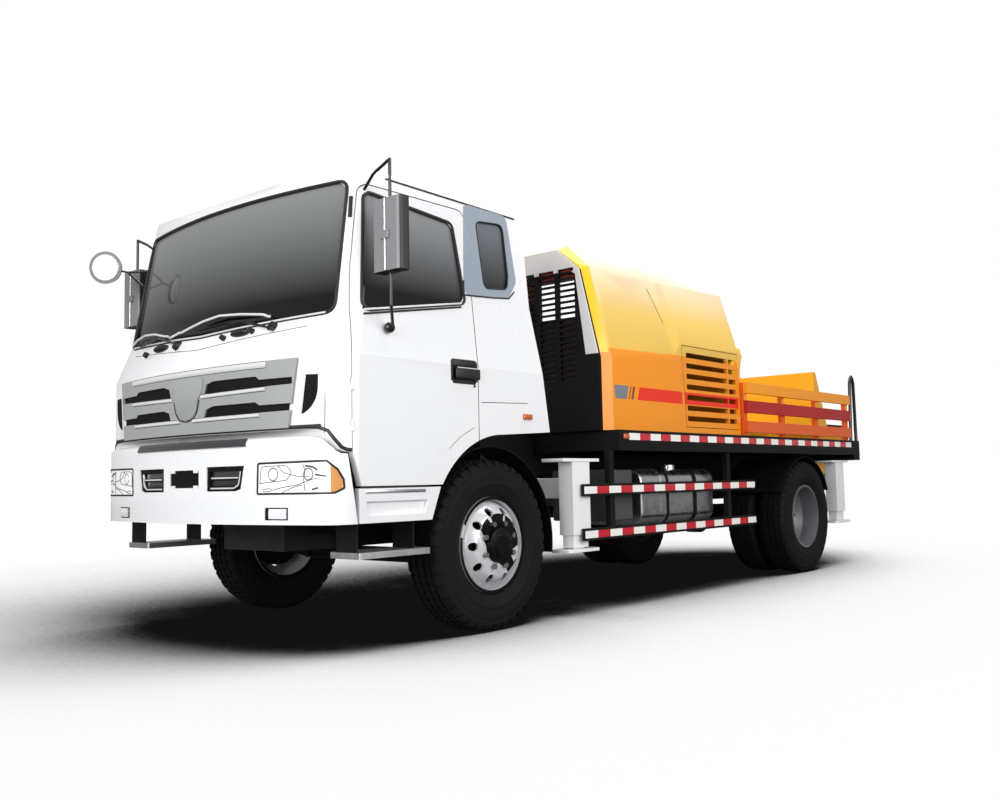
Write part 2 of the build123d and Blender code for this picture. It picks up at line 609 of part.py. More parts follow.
def wipers():
    """Two parked wipers under the windscreen, each a pivot and an arm."""
    pieces = []
    for pivot_x, tip_x in ((650, 130), (-240, -820)):
        low_z, high_z = 1800, 1868
        foot_y, mid_y, tip_y = front_y(pivot_x, low_z), front_y((pivot_x + tip_x) / 2, high_z), front_y(tip_x, high_z - 20)
        pivot = rod_y(pivot_x, foot_y - 36, foot_y + 40, low_z, 16)
        arm = tube_run([(pivot_x, foot_y - 30, low_z), ((pivot_x + tip_x) / 2, mid_y - 30, high_z), (tip_x, tip_y - 24, high_z - 20)], 7)
        pieces += ((pivot + arm) - cab_body(-SEAT_GAP)).solids()
    return Compound(children=pieces)


def seats():
    pieces = []
    for x in (560, -560):
        cushion = fillet(block(x - 260, x + 260, -560, -60, 1480, 1600).edges().filter_by(Axis.Y), 40)
        back = Pos(x, -20, 1600) * Rot(-12, 0, 0) * fillet(block(-250, 250, -60, 60, -40, 640).edges().filter_by(Axis.X), 45)
        base = block(x - 200, x + 200, -500, -120, FLOOR_LOW + FLOOR_T + SEAT_GAP, 1485)
        pieces += (cushion + back + base).solids()
    return Compound(children=pieces)


def dashboard():
    """Dash across the cab with the steering column and wheel on the left."""
    low = FLOOR_LOW + FLOOR_T + SEAT_GAP
    dash = along_x(face_of([(-1200, 1520), (-1215, 1790), (-1080, 1810), (-960, 1740), (-930, 1600), (-1000, 1500)]), -1060, 1060)
    dash += along_x(face_of([(-1200, low), (-1200, 1530), (-1060, 1530), (-1090, low)]), -300, 300)
    column = tube_run([(560, -1040, 1650), (560, -800, 1800)], 32)
    wheel = Pos(560, -790, 1810) * Rot(32, 0, 0) * (Torus(215, 15) + Cylinder(48, 34) + Box(410, 26, 14) + Pos(0, 100, 0) * Box(26, 200, 14))
    return (dash & cab_body(CAB_WALL + SEAT_GAP)) + column + wheel


MIRROR_X, MIRROR_Y, MIRROR_Z = 1322, -1000, 2262
MIRROR_W, MIRROR_D, MIRROR_H = 216, 90, 400


def door_mirror():
    """Left mirror on a bar from the door's waist to the top of its frame."""
    housing = block(MIRROR_X - MIRROR_W / 2, MIRROR_X + MIRROR_W / 2, MIRROR_Y - MIRROR_D / 2, MIRROR_Y + MIRROR_D / 2,
                    MIRROR_Z - MIRROR_H / 2, MIRROR_Z + MIRROR_H / 2)
    housing = fillet(housing.edges().filter_by(Axis.Z), 26)
    foot_z, head_z = 1780, CAB_TOP - 245
    bar = tube_run([(1171 + 4, -900, foot_z), (1235, -915, foot_z + 8), (MIRROR_X - 8, MIRROR_Y, 1880), (MIRROR_X - 8, MIRROR_Y, CAB_TOP - 110),
                    (1180, -1000, head_z + 80), (1060, -975, head_z)], 9)
    knob = Pos(1198, -904, foot_z) * Sphere(31)
    return housing + (bar + knob - cab_body(-SEAT_GAP))


def corner_mirror():
    """Round mirror on a forked arm at the right front corner, which shows the driver the bumper."""
    centre = (-1125, -1362, 2412)
    dish = Pos(*centre) * Rot(62, 0, -18) * revolve(Plane.XZ * face_of([(0, 0), (100, 0), (108, 8), (104, 22), (60, 40), (0, 46)]), Axis.Z)
    arm = tube_run([(centre[0], centre[1] + 6, centre[2]), (-1085, -1290, 2416), (-1042, -1050, 2430)], 8)
    fork = tube_run([(-1085, -1290, 2416), (-1048, -1060, 2335)], 8)
    return dish + ((arm + fork) - cab_body(-SEAT_GAP))


# ---- bumper and steps ------------------------------------------------------------------------
def bumper_plan(inset=0):
    """Plan of the bumper's skin, run on aft past its ends, which are trimmed later."""
    return plan_outline(FRONT_END, CAB_HALF_W, CAB_CORNER_R, -900, inset)


def bumper_side():
    """Side view of the bumper: its top edge dips under the cab's corner, and its end leans back."""
    dip = CORNER_Y - 33
    return face_of([(FRONT_END - 50, BUMPER_LOW), (BUMPER_REAR, BUMPER_LOW), (CORNER_Y + 77, CAB_LOW_SIDE - 8),
                    (CORNER_Y + 44, CAB_LOW_SIDE - 6), (CORNER_Y + 24, CAB_LOW_SIDE + 6), (dip + 20, 1141), (dip + 4, 1176),
                    (dip - 6, BUMPER_TOP + 20), (FRONT_END - 50, BUMPER_TOP + 20)])


def headlamp_outline():
    lamp = face_of([(642, 872), (1148, 872), (1177, 896), (1175, 945), (1158, 1000), (1116, 1044), (655, 1040)])
    return fillet(lamp.vertices(), 14)


def vent_outline():
    low, top = 890, 1030
    return face_of([(226, low), (480, low), (520, low + 12), (546, top), (226, top)])


def plate_outline():
    return face_of([(-150, 912), (150, 912), (150, 1015), (-150, 1015)])


def fog_outline():
    return face_of([(705, 730), (870, 730), (870, 798), (705, 798)])


def through_bumper(outline):
    return along_y(outline, FRONT_END - 50, -1290)


def bumper():
    body = along_z(bumper_plan(), BUMPER_LOW, BUMPER_TOP)
    top = body.edges().group_by(Axis.Z)[-1].sort_by(Axis.Y)[0:3]
    body = fillet(top, 44)
    body -= along_z(bumper_plan(BUMPER_WALL), BUMPER_LOW - 5, BUMPER_TOP + 5)
    body &= along_x(bumper_side(), -1300, 1300)
    body -= fused_both(along_y(headlamp_outline(), FRONT_END - 50, LAMP_REAR))
    body -= fused_both(through_bumper(vent_outline())) + through_bumper(plate_outline()) + fused_both(through_bumper(fog_outline()))
    arm = block(355, 425, FRONT_END + 48, RAIL_FRONT - SEAT_GAP, 790, 860)
    return body + fused_both(arm)


def bumper_layer(a, b):
    return along_z(bumper_plan(a), 700, 1150) - along_z(bumper_plan(b), 695, 1155)


def headlamps():
    return bumper_layer(1, BUMPER_WALL - 2) & fused_both(along_y(headlamp_outline(), FRONT_END - 50, LAMP_REAR))


def bumper_vents():
    """Black inserts: two vents, each with a cross bar, the fog lamps and the recessed blank plate carrier."""
    insert = bumper_layer(6, BUMPER_WALL - 2)
    slots = face_of([(248, 920), (496, 920), (502, 952), (248, 952)]) + face_of([(248, 972), (506, 972), (512, 1004), (248, 1004)])
    vent = (insert & through_bumper(vent_outline())) - through_bumper(slots)
    plate = insert & through_bumper(plate_outline())
    fog = bumper_layer(4, BUMPER_WALL - 2) & through_bumper(fog_outline())
    return Compound(children=[*both(vent + fog).solids(), *plate.solids()])


STEP_FRONT = BUMPER_REAR + 14


def step_panels():
    """Sill panel under each door on its brackets from the frame."""
    panel = face_of([(STEP_FRONT, BUMPER_LOW), (-577, BUMPER_LOW), (-500, 893), (STEP_FRONT, 893)])
    skin = along_x(panel, CAB_HALF_W - 40, CAB_HALF_W)
    skin -= along_x(face_of([(-1075, 745), (-640, 745), (-612, 820), (-1075, 820)]), CAB_HALF_W - 22, CAB_HALF_W + 10)
    for station in (-1095, -690):
        skin += block(RAIL_X + SEAT_GAP, CAB_HALF_W - 30, station - 20, station + 20, 735, 795)
    return both(skin)


def step_plates():
    """Aluminium tread under each sill panel, on two hangers."""
    tread = fillet(block(930, 1185, -1120, -588, 515, 550).edges().filter_by(Axis.Z), 14)
    for station in (-1110, -690):
        tread += block(980, 1150, station - 5, station + 5, 545, 735 - SEAT_GAP)
    return both(tread)


# ---- chassis side pieces ---------------------------------------------------------------------
TANK_FRONT, TANK_REAR = 1775, 2890


def fuel_tank():
    """Aluminium tank on the left with its straps, cap and cradle arms."""
    tank = fillet(block(560, 1100, TANK_FRONT, TANK_REAR, 560, 985).edges().filter_by(Axis.Y), 95)
    tank = fillet(tank.faces().filter_by(Axis.Y).edges(), 14)
    band = block(554, 1106, -25, 25, 554, 991)
    band = fillet(band.edges().filter_by(Axis.Y), 98)
    for station in (2080, 2600):
        tank += Pos(0, station, 0) * band
        tank += block(RAIL_X + SEAT_GAP, 620, station - 25, station + 25, 710, 760)
        tank += block(RAIL_X + SEAT_GAP, 470, station - 25, station + 25, 710, 940)
    return tank + rod_z(960, 2400, 970, 1020, 55)


def battery_box():
    """Battery box on the left, ahead of the tank."""
    box = fillet(block(600, 1090, 1325, 1665, 610, 985).edges().filter_by(Axis.Y), 14)
    box += block(RAIL_X + SEAT_GAP, 610, 1380, 1610, 720, 770)
    return box


def silencer():
    """Exhaust silencer and two air tanks on the right side."""
    can = rod_y(-800, 1400, 2150, 760, 175) + tube_run([(-800, 2140, 760), (-800, 2440, 760), (-800, 2600, 640)], 45)
    for station in (1500, 2050):
        can += block(-RAIL_X - SEAT_GAP, -640, station - 20, station + 20, 720, 770)
    for y0, y1 in ((2800, 3300),):
        for z in (650, 860):
            can += fillet(rod_y(-700, y0, y1, z, 95).edges(), 30)
        can += block(-RAIL_X - SEAT_GAP, -610, 3030, 3070, 640, 870) + block(-720, -680, 3030, 3070, 640, 870)
    return can


GUARD_FRONT, GUARD_REAR = 874, 3424
GUARD_X = 1190


def side_guards():
    """Two rails each side between the axles, on posts from the deck's edge."""
    rails = None
    for z in (541, 844):
        rail = block(GUARD_X, GUARD_X + 28, GUARD_FRONT, GUARD_REAR, z - 42, z + 42)
        rails = rail if rails is None else rails + rail
    for station in (1250, 3000):
        rails += block(GUARD_X - 42, GUARD_X + 4, station - 28, station + 28, 499, SUBFRAME_TOP - SEAT_GAP)
    return both(rails)


def deck():
    """Flat bed: subframe, cross bearers, floor plate and side beams."""
    bed = block(-HALF_WIDTH, HALF_WIDTH, DECK_FRONT, DECK_REAR, DECK_TOP - DECK_PLATE, DECK_TOP)
    for side in (-1, 1):
        bed += block(side * (HALF_WIDTH - 60), side * HALF_WIDTH, DECK_FRONT, DECK_REAR, SUBFRAME_TOP, DECK_TOP)
        bed += block(side * (RAIL_X - 80), side * RAIL_X, SUBFRAME_FRONT, RAIL_REAR, RAIL_TOP + SEAT_GAP, DECK_TOP - DECK_PLATE)
    for n in range(10):
        station = DECK_FRONT + 30 + n * (DECK_REAR - DECK_FRONT - 60) / 9
        bed += block(-HALF_WIDTH + 10, HALF_WIDTH - 10, station - 30, station + 30, SUBFRAME_TOP, DECK_TOP - 5)
    bed += block(-HALF_WIDTH, HALF_WIDTH, DECK_REAR - 145, DECK_REAR, 1065, SUBFRAME_TOP + 10)
    return bed


def side_boards():
    """Slatted side boards of the bed with their posts."""
    front, rear = HOOD_REAR + 10, DECK_REAR - 200
    boards = None
    for low, top in ((1300, 1400), (1473, 1580), (1645, 1740)):
        board = block(HALF_WIDTH - 40, HALF_WIDTH - 4, front, rear, low, top)
        boards = board if boards is None else boards + board
    for station in [front + 30 + n * (rear - front - 60) / 3 for n in range(4)]:
        boards += block(HALF_WIDTH - 80, HALF_WIDTH - 36, station - 28, station + 28, DECK_TOP + SEAT_GAP, 1740)
    return both(boards)


def tail_hoops():
    """Narrow tube hoops at the deck's rear corners."""
    low, top, front = DECK_TOP + SEAT_GAP, 1950, DECK_REAR - 165
    bend = [(HALF_WIDTH - 25, front + y, z) for y, z in ((0, low), (34, top - 70), (52, top - 22), (80, top), (108, top - 22), (130, top - 70), (144, low))]
    return both(tube_run(bend, 17) & block(1000, 1300, front - 100, front + 300, low, 2000))


# ---- jacks -----------------------------------------------------------------------------------
def jack_bore(station, inset, z0, z1):
    """Inside of a jack's tube, made smaller all round by inset."""
    half_w, half_l = JACK_W / 2 - JACK_WALL - inset, JACK_L / 2 - JACK_WALL - inset
    return block(JACK_X - half_w, JACK_X + half_w, station - half_l, station + half_l, z0, z1)


def jack_boxes():
    """Fixed tubes of the four jacks, each on a beam from the frame."""
    pieces = []
    for station in JACK_STATIONS:
        half_w, half_l = JACK_W / 2, JACK_L / 2
        tube = block(JACK_X - half_w, JACK_X + half_w, station - half_l, station + half_l, JACK_LOW, JACK_TOP)
        tube -= block(JACK_X - half_w + JACK_WALL, JACK_X + half_w - JACK_WALL, station - half_l + JACK_WALL,
                      station + half_l - JACK_WALL, JACK_LOW - 10, JACK_TOP - 10)
        tube += jack_bore(station, 0, JACK_LOW, JACK_LOW + 60) - jack_bore(station, RUN_GAP - SEAT_GAP, JACK_LOW - 5, JACK_LOW + 65)
        tube += block(JACK_X - half_w - 60, JACK_X + half_w + 6, station - half_l - 110, station + half_l + 110, JACK_TOP - 10, JACK_TOP + 12)
        tube += block(RAIL_X + SEAT_GAP, JACK_X - half_w + 2, station - 65, station + 65, 790, 930)
        pieces += both(tube).solids()
    return Compound(children=pieces)


def jack_leg(station):
    """Left sliding leg with its foot plate, drawn up."""
    gap = JACK_WALL + RUN_GAP
    half_w, half_l = JACK_W / 2 - gap, JACK_L / 2 - gap
    leg = block(JACK_X - half_w, JACK_X + half_w, station - half_l, station + half_l, 455, JACK_TOP - 25)
    foot = fillet(block(JACK_X - 85, JACK_X + 85, station - 180, station + 180, 425, 447).edges().filter_by(Axis.Z), 30)
    neck = block(JACK_X - 30, JACK_X + 30, station - 60, station + 60, 440, 470)
    return leg + foot + neck


# ---- hood and pump ---------------------------------------------------------------------------
# station, inset of the side, crease height, shoulder height, top height
HOOD_SECTIONS = (
    (HOOD_FRONT, 45, 1800, 2475, 2650),
    (HOOD_FRONT + 70, 0, 1805, 2500, 2700),
    (2200, 0, 1870, 2500, 2700),
    (LID_FRONT - 15, 0, 1992, 2504, 2690),
    (HOOD_REAR, 0, 2000, 2530, 2600),
)


def hood_section(station, inset, crease, shoulder, top, wall=0):
    w = HOOD_HALF_W - inset - wall
    half = [(w, HOOD_BASE - 2 * wall), (w, crease), (w - 160, shoulder - 0.3 * wall), (w - 360, top - wall)]
    outline = face_of(half + [(-x, z) for x, z in reversed(half)])
    return Plane((0, station, 0), x_dir=(1, 0, 0), z_dir=(0, -1, 0)) * outline


def hood_loft(wall=0):
    sections = [hood_section(*row, wall) for row in HOOD_SECTIONS]
    return loft(sections, ruled=True)


def lid_outline(grow=0):
    g = grow
    return face_of([(LID_FRONT - g + 40, LID_LOW - g), (LID_REAR + g, LID_LOW - g), (LID_REAR + g, LID_TOP + g), (LID_FRONT - g, LID_TOP + g),
                    (LID_FRONT - g, LID_TOP - 60)])


def hood():
    """Yellow hood over the pump's engine: a folded shell, open in front and below."""
    shell = hood_loft() - (hood_loft(HOOD_WALL) & block(-1300, 1300, 0, HOOD_REAR - HOOD_WALL, 1000, 3000))
    shell &= block(-1300, 1300, HOOD_FRONT, 4000, HOOD_BASE, 3000)
    shell -= fused_both(along_x(lid_outline(RUN_GAP), HOOD_HALF_W - 80, HOOD_HALF_W + 60))
    post = along_x(face_of([(HOOD_REAR - 5, HOOD_BASE), (HOOD_REAR + 60, HOOD_BASE), (HOOD_REAR + 60, 1960), (HOOD_REAR + 30, 2050), (HOOD_REAR - 5, 1930)]),
                   HOOD_HALF_W - 60, HOOD_HALF_W - 20)
    return with_fixed(shell + fused_both(post), LID_HINGES)


def hood_lid():
    """Left louvred service door."""
    leaf = along_x(lid_outline(), HOOD_HALF_W - HOOD_WALL, HOOD_HALF_W)
    for n in range(7):
        low = LID_LOW + 45 + n * 86
        leaf -= block(HOOD_HALF_W - 60, HOOD_HALF_W + 10, LID_FRONT + 60, LID_REAR - 190, low, low + 42)
        leaf -= block(HOOD_HALF_W - 60, HOOD_HALF_W + 10, LID_REAR - 165, LID_REAR - 35, low, low + 42)
    return with_moving(leaf, LID_HINGES)


HOOD_FACE = 1238
FACIA_LOW = 1830


def face_outline(inset, low):
    w = HOOD_HALF_W - 45 - inset
    half = [(w, low), (w, 1800), (w - 160, 2475 - 0.3 * inset), (w - 360, 2650 - inset)]
    if low > 1800:
        half = [(w - 160 * (low - 1800) / 675, low), *half[2:]]
    return face_of(half + [(-x, z) for x, z in reversed(half)])


def hood_slots():
    """Rows and columns of the hood's front air inlet: rows rise from below, columns run across."""
    columns = [(x - 72, x + 72) for x in [185 * (n - 4.5) for n in range(10)]]
    rows = [(1650 + 43 * n, 1676 + 43 * n) for n in range(20)]
    cutters = [Pos((x0 + x1) / 2, HOOD_FACE + 10, (z0 + z1) / 2) * Box(x1 - x0, 100, z1 - z0) for x0, x1 in columns for z0, z1 in rows]
    return Compound(children=cutters)


def hood_front():
    """Black louvred panel that closes the front of the hood."""
    panel = along_y(face_outline(2, HOOD_BASE), HOOD_FRONT - 20 + SEAT_GAP, HOOD_FRONT - SEAT_GAP)
    return panel - hood_slots()


def hood_fascia():
    """Grey surround across the top of the hood's front and down its corners."""
    band = along_y(face_outline(0, FACIA_LOW), HOOD_FACE, HOOD_FRONT - 20)
    inner = [(890, FACIA_LOW - 10), (890, 2380), (820, 2478)]
    band -= along_y(face_of([(1000, FACIA_LOW - 10), (920, 2440), (880, 2470), (-880, 2470), (-920, 2440), (-1000, FACIA_LOW - 10)]), HOOD_FACE - 10, HOOD_FRONT)
    return band - hood_slots()


def power_unit():
    """Pump's diesel engine, radiator and oil tank as plain blocks on the deck."""
    base = DECK_TOP + SEAT_GAP
    unit = block(-420, 420, 1700, 2900, base, 2050) + block(-800, 800, 1400, 1560, base, 2300)
    unit += block(-600, 600, 1550, 1710, base, 1500) + block(-900, -450, 2000, 3100, base, 1900) + block(-460, -380, 2100, 2800, base, 1500)
    return unit


def pump_unit():
    """Two drive cylinders, the water box and two concrete cylinders up to the hopper."""
    base = DECK_TOP + SEAT_GAP
    box_front, box_rear = HOPPER_FRONT - 1840, HOPPER_FRONT - 1390
    unit = block(-330, 330, box_front, box_rear, base + 20, PUMP_Z + 220)
    for x in (-160, 160):
        unit += rod_y(x, box_front - 650, box_front + 10, PUMP_Z, 75)
        unit += rod_y(x, box_rear - 10, HOPPER_FRONT - SEAT_GAP, PUMP_Z - 140, 120)
    unit += block(-300, 300, box_front - 670, box_front - 610, base, PUMP_Z + 100)
    unit += block(-320, 320, HOPPER_FRONT - 190, HOPPER_FRONT - SEAT_GAP, base, HOPPER_RIM - 20)
    unit += block(-300, 300, box_front + 50, box_rear - 50, base, base + 30)
    return unit


def hopper_box(grow, low, top):
    """Tapered trough between two heights, grown outward all round."""
    def ring(z):
        share = (z - 820) / (HOPPER_RIM - 820)
        half = 430 + share * (HOPPER_HALF_W - 430 - HOPPER_WALL - 20) + grow
        front = HOPPER_FRONT + 230 + share * (HOPPER_WALL + 20 - 230) - grow
        rear = REAR_END - 210 + share * (210 - HOPPER_WALL - 20) + grow
        return Plane.XY.offset(z) * face_of([(-half, front), (half, front), (half, rear), (-half, rear)])
    return loft([ring(low), ring(top)], ruled=True)


def hopper():
    """Charging hopper with its rim, splash plate, mounting plate and delivery outlet."""
    body = hopper_box(HOPPER_WALL, 800, HOPPER_RIM)
    rim_plate = block(-HOPPER_HALF_W, HOPPER_HALF_W, HOPPER_FRONT, REAR_END, HOPPER_RIM - 20, HOPPER_RIM)
    body += rim_plate
    body -= hopper_box(0, 812, HOPPER_RIM + 10)
    body += block(-400, 400, DECK_REAR + SEAT_GAP, HOPPER_FRONT + 160, 960, 1268) - hopper_box(2, 812, HOPPER_RIM)
    splash = block(-HOPPER_HALF_W, HOPPER_HALF_W, HOPPER_FRONT, HOPPER_FRONT + HOPPER_WALL, HOPPER_RIM - 5, 2050)
    for side in (-1, 1):
        edge = side * HOPPER_HALF_W
        wing = face_of([(HOPPER_FRONT, HOPPER_RIM - 5), (HOPPER_FRONT + 330, HOPPER_RIM - 5), (HOPPER_FRONT + 60, 2050), (HOPPER_FRONT, 2050)])
        splash += along_x(wing, edge - HOPPER_WALL if side > 0 else edge, edge if side > 0 else edge + HOPPER_WALL)
        lug = block(edge - side * 20, edge - side * 32, GRATE_PIN_Y - 18, GRATE_PIN_Y + 18, HOPPER_RIM - 5, GRATE_PIN_Z + 18)
        splash += lug - rod_x(edge - side * 10, edge - side * 40, GRATE_PIN_Y, GRATE_PIN_Z, GRATE_PIN_R + SEAT_GAP)
    body += splash
    outlet = rod_y(0, REAR_END - 250, REAR_END - 20, 930, 78) + rod_y(0, REAR_END - 45, REAR_END, 930, 98)
    body += outlet - hopper_box(1, 812, HOPPER_RIM)
    body -= rod_y(0, REAR_END - 160, REAR_END + 10, 930, 62.5)
    for side in (-1, 1):
        body += rod_x(side * 560, side * 660, AGITATOR_Y, AGITATOR_Z, 70) - hopper_box(1, 812, HOPPER_RIM)
    body -= rod_x(-700, 700, AGITATOR_Y, AGITATOR_Z, 32 + SEAT_GAP)
    return body


def agitator():
    """Paddle shaft that turns across the hopper."""
    shaft = rod_x(-690, 690, AGITATOR_Y, AGITATOR_Z, 32)
    # x, turn of the paddle about the shaft
    for x, turn in ((-380, 20), (-130, 110), (130, 200), (380, 290)):
        paddle = Pos(x, 0, 120) * Rot(0, 0, 20) * Box(90, 14, 110) + Pos(x, 0, 50) * Box(24, 24, 100)
        shaft += Pos(0, AGITATOR_Y, AGITATOR_Z) * Rot(turn, 0, 0) * paddle
    return shaft


def hopper_grate():
    """Hinged bar grate that lies on the hopper's rim."""
    low, top = HOPPER_RIM + SEAT_GAP, HOPPER_RIM + 35
    front, rear, half = GRATE_PIN_Y, REAR_END - 30, HOPPER_HALF_W - 45
    frame = block(-half, half, front, rear, low, top) - block(-half + 30, half - 30, front + 30, rear - 30, low - 5, top + 5)
    for n in range(1, 12):
        x = -half + 15 + n * (2 * half - 30) / 12
        frame += block(x - 6, x + 6, front + 10, rear - 10, low, top - 8)
    for y in (AGITATOR_Y - 230, AGITATOR_Y + 120):
        frame += block(-half + 5, half - 5, y - 6, y + 6, low, top - 8)
    return frame + rod_x(-half - 26, half + 26, GRATE_PIN_Y, GRATE_PIN_Z, GRATE_PIN_R)


def tail_lamps():
    lamp = block(930, 1180, DECK_REAR + SEAT_GAP, DECK_REAR + 45, 1068, 1160)
    return both(lamp)


# ---- all nodes -------------------------------------------------------------------------------
def main():
    skin = cab_skin()
    screen, back, quarters = cab_windows()
    left_door = door(skin)
    left_glass = pane(along_x(door_window(), CAB_HALF_W - 200, CAB_HALF_W + 60))
    nodes = {
        "frame_rails": frame_rails(),
        "front_axle": front_axle(),
        "rear_axle": rear_axle(),
        "engine": engine(),
        "mudguards": mudguards(),
        "bumper": bumper(),
        "bumper_vents": bumper_vents(),
        "headlamps": headlamps(),
        "step_panels": step_panels(),
        "step_plates": step_plates(),
        "fuel_tank": fuel_tank(),
        "battery_box": battery_box(),
        "silencer": silencer(),
        "side_guards": side_guards(),
        "deck": deck(),
        "side_boards": side_boards(),
        "tail_hoops": tail_hoops(),
        "tail_lamps": tail_lamps(),
        "jack_boxes": jack_boxes(),
        "hood": hood(),
        "hood_front": hood_front(),
        "hood_fascia": hood_fascia(),
        "power_unit": power_unit(),
        "pump_unit": pump_unit(),
        "hopper": hopper(),
        "agitator": agitator(),
        "hopper_grate": hopper_grate(),
        "cab_shell": cab_shell(skin),
        "cab_hinge": cab_hinge(),
        "windscreen": pane(screen),
        "cab_glass": Compound(children=[*pane(back).solids(), *pane(quarters).solids()]),
        "grille": grille(),
        "grille_backing": grille_backing(),
        "wipers": wipers(),
        "seats": seats(),
        "dashboard": dashboard(),
        "corner_mirror": corner_mirror(),
    }
    handed = {
        "door": left_door,
        "door_glass": left_glass,
        "door_mirror": door_mirror(),
        "hood_lid": hood_lid(),
        "knuckle": knuckle(),
        "rim_front": front_wheel_metal(),
        "tyre_front": tyre(FRONT_WHEEL_X, 0),
        "rim_rear": rear_wheel_metal(),
        "tyre_rear": rear_tyres(),
        "jack_front": jack_leg(JACK_STATIONS[0]),
        "jack_rear": jack_leg(JACK_STATIONS[1]),
    }
    for name, shape in handed.items():
        nodes[f"{name}_left"] = shape
        nodes[f"{name}_right"] = mirror(shape, Plane.YZ)
    written(nodes)


main()
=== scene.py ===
"""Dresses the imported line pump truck: paint, tread, lamps, trim, tape and a plain studio."""
import json
import math

import bmesh
import bpy
from mathutils import Matrix, Vector
from mathutils.bvhtree import BVHTree

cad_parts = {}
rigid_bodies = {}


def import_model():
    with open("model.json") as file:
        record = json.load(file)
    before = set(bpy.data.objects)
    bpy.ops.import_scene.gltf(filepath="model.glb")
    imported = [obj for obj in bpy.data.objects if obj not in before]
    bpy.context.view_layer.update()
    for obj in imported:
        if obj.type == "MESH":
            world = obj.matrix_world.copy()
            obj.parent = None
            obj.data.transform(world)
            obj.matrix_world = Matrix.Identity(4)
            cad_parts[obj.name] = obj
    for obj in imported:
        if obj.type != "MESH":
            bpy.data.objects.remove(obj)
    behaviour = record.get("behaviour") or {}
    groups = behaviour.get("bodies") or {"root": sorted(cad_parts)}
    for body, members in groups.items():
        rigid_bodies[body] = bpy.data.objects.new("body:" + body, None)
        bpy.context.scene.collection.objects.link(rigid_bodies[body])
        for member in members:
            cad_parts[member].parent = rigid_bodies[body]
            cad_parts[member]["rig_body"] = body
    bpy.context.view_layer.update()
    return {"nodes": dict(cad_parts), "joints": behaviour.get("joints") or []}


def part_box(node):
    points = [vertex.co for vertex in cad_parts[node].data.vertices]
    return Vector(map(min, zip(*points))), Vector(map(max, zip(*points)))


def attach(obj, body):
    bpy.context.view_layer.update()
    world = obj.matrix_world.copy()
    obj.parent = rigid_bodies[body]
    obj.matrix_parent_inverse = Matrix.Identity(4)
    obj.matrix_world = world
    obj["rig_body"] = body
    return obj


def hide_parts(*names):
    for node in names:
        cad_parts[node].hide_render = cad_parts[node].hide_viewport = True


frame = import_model()
NODES = frame["nodes"]
JOINTS = {joint["name"]: joint for joint in frame["joints"]}
FRONT_WHEEL_X, AXLE, WHEEL_Z = JOINTS["wheel_front_left_spin"]["pos_m"]     # AXLE: the front axle, station 0
TWIN_X, REAR_WHEEL_Y, _ = JOINTS["wheel_rear_left_spin"]["pos_m"]           # TWIN_X: a twin wheel's middle
REAR_AXLE = REAR_WHEEL_Y - AXLE
SHIFT = Vector((0, AXLE, 0))                # from stations to the frame
SIDES = (("left", 1), ("right", -1))


# ---- finishes --------------------------------------------------------------------------------
DUST = "8d8579"
DUST_LOW, DUST_HIGH = 0.25, 1.15        # road dust fades out between these heights
MOST_NOISE = 0.3, 0.7                   # the range that nearly all of a noise lies in


def tint(code):
    """Linear colour of a six-figure colour code."""
    parts = [int(code[n:n + 2], 16) / 255 for n in (0, 2, 4)]
    return tuple(p / 12.92 if p <= 0.04045 else ((p + 0.055) / 1.055) ** 2.4 for p in parts) + (1.0,)


def link(tree, source, out, target, into):
    tree.links.new(source.outputs[out], target.inputs[into])


def bare_finish(name):
    """A new material, its node tree, its shader and its object coordinates."""
    mat = bpy.data.materials.new(name)
    mat.use_nodes = True
    tree = mat.node_tree
    return mat, tree, tree.nodes["Principled BSDF"], tree.nodes.new("ShaderNodeTexCoord")


def clouds(tree, place, scale, detail=3.0):
    """Soft noise in the piece's own coordinates."""
    noise = tree.nodes.new("ShaderNodeTexNoise")
    for name, value in (("Scale", scale), ("Detail", detail), ("Roughness", 0.55)):
        noise.inputs[name].default_value = value
    link(tree, place, "Object", noise, "Vector")
    return noise


def height_of(tree, place):
    """The height in the piece's own coordinates, as the output Z."""
    split = tree.nodes.new("ShaderNodeSeparateXYZ")
    link(tree, place, "Object", split, "Vector")
    return split


def spread(tree, source, out, low, high, to_low, to_high):
    """Maps a value from one range to another, clamped."""
    node = tree.nodes.new("ShaderNodeMapRange")
    for name, value in (("From Min", low), ("From Max", high), ("To Min", to_low), ("To Max", to_high)):
        node.inputs[name].default_value = value
    link(tree, source, out, node, "Value")
    return node


def blended(tree, factor, out, first, second):
    """The colour between two others, each a colour or a socket."""
    node = tree.nodes.new("ShaderNodeMix")
    node.data_type = "RGBA"
    for socket, value in ((6, first), (7, second)):     # the mix node's two colours
        if isinstance(value, tuple):
            node.inputs[socket].default_value = value
        else:
            tree.links.new(value, node.inputs[socket])
    tree.links.new(factor.outputs[out], node.inputs[0])
    return node.outputs[2]                              # the mixed colour


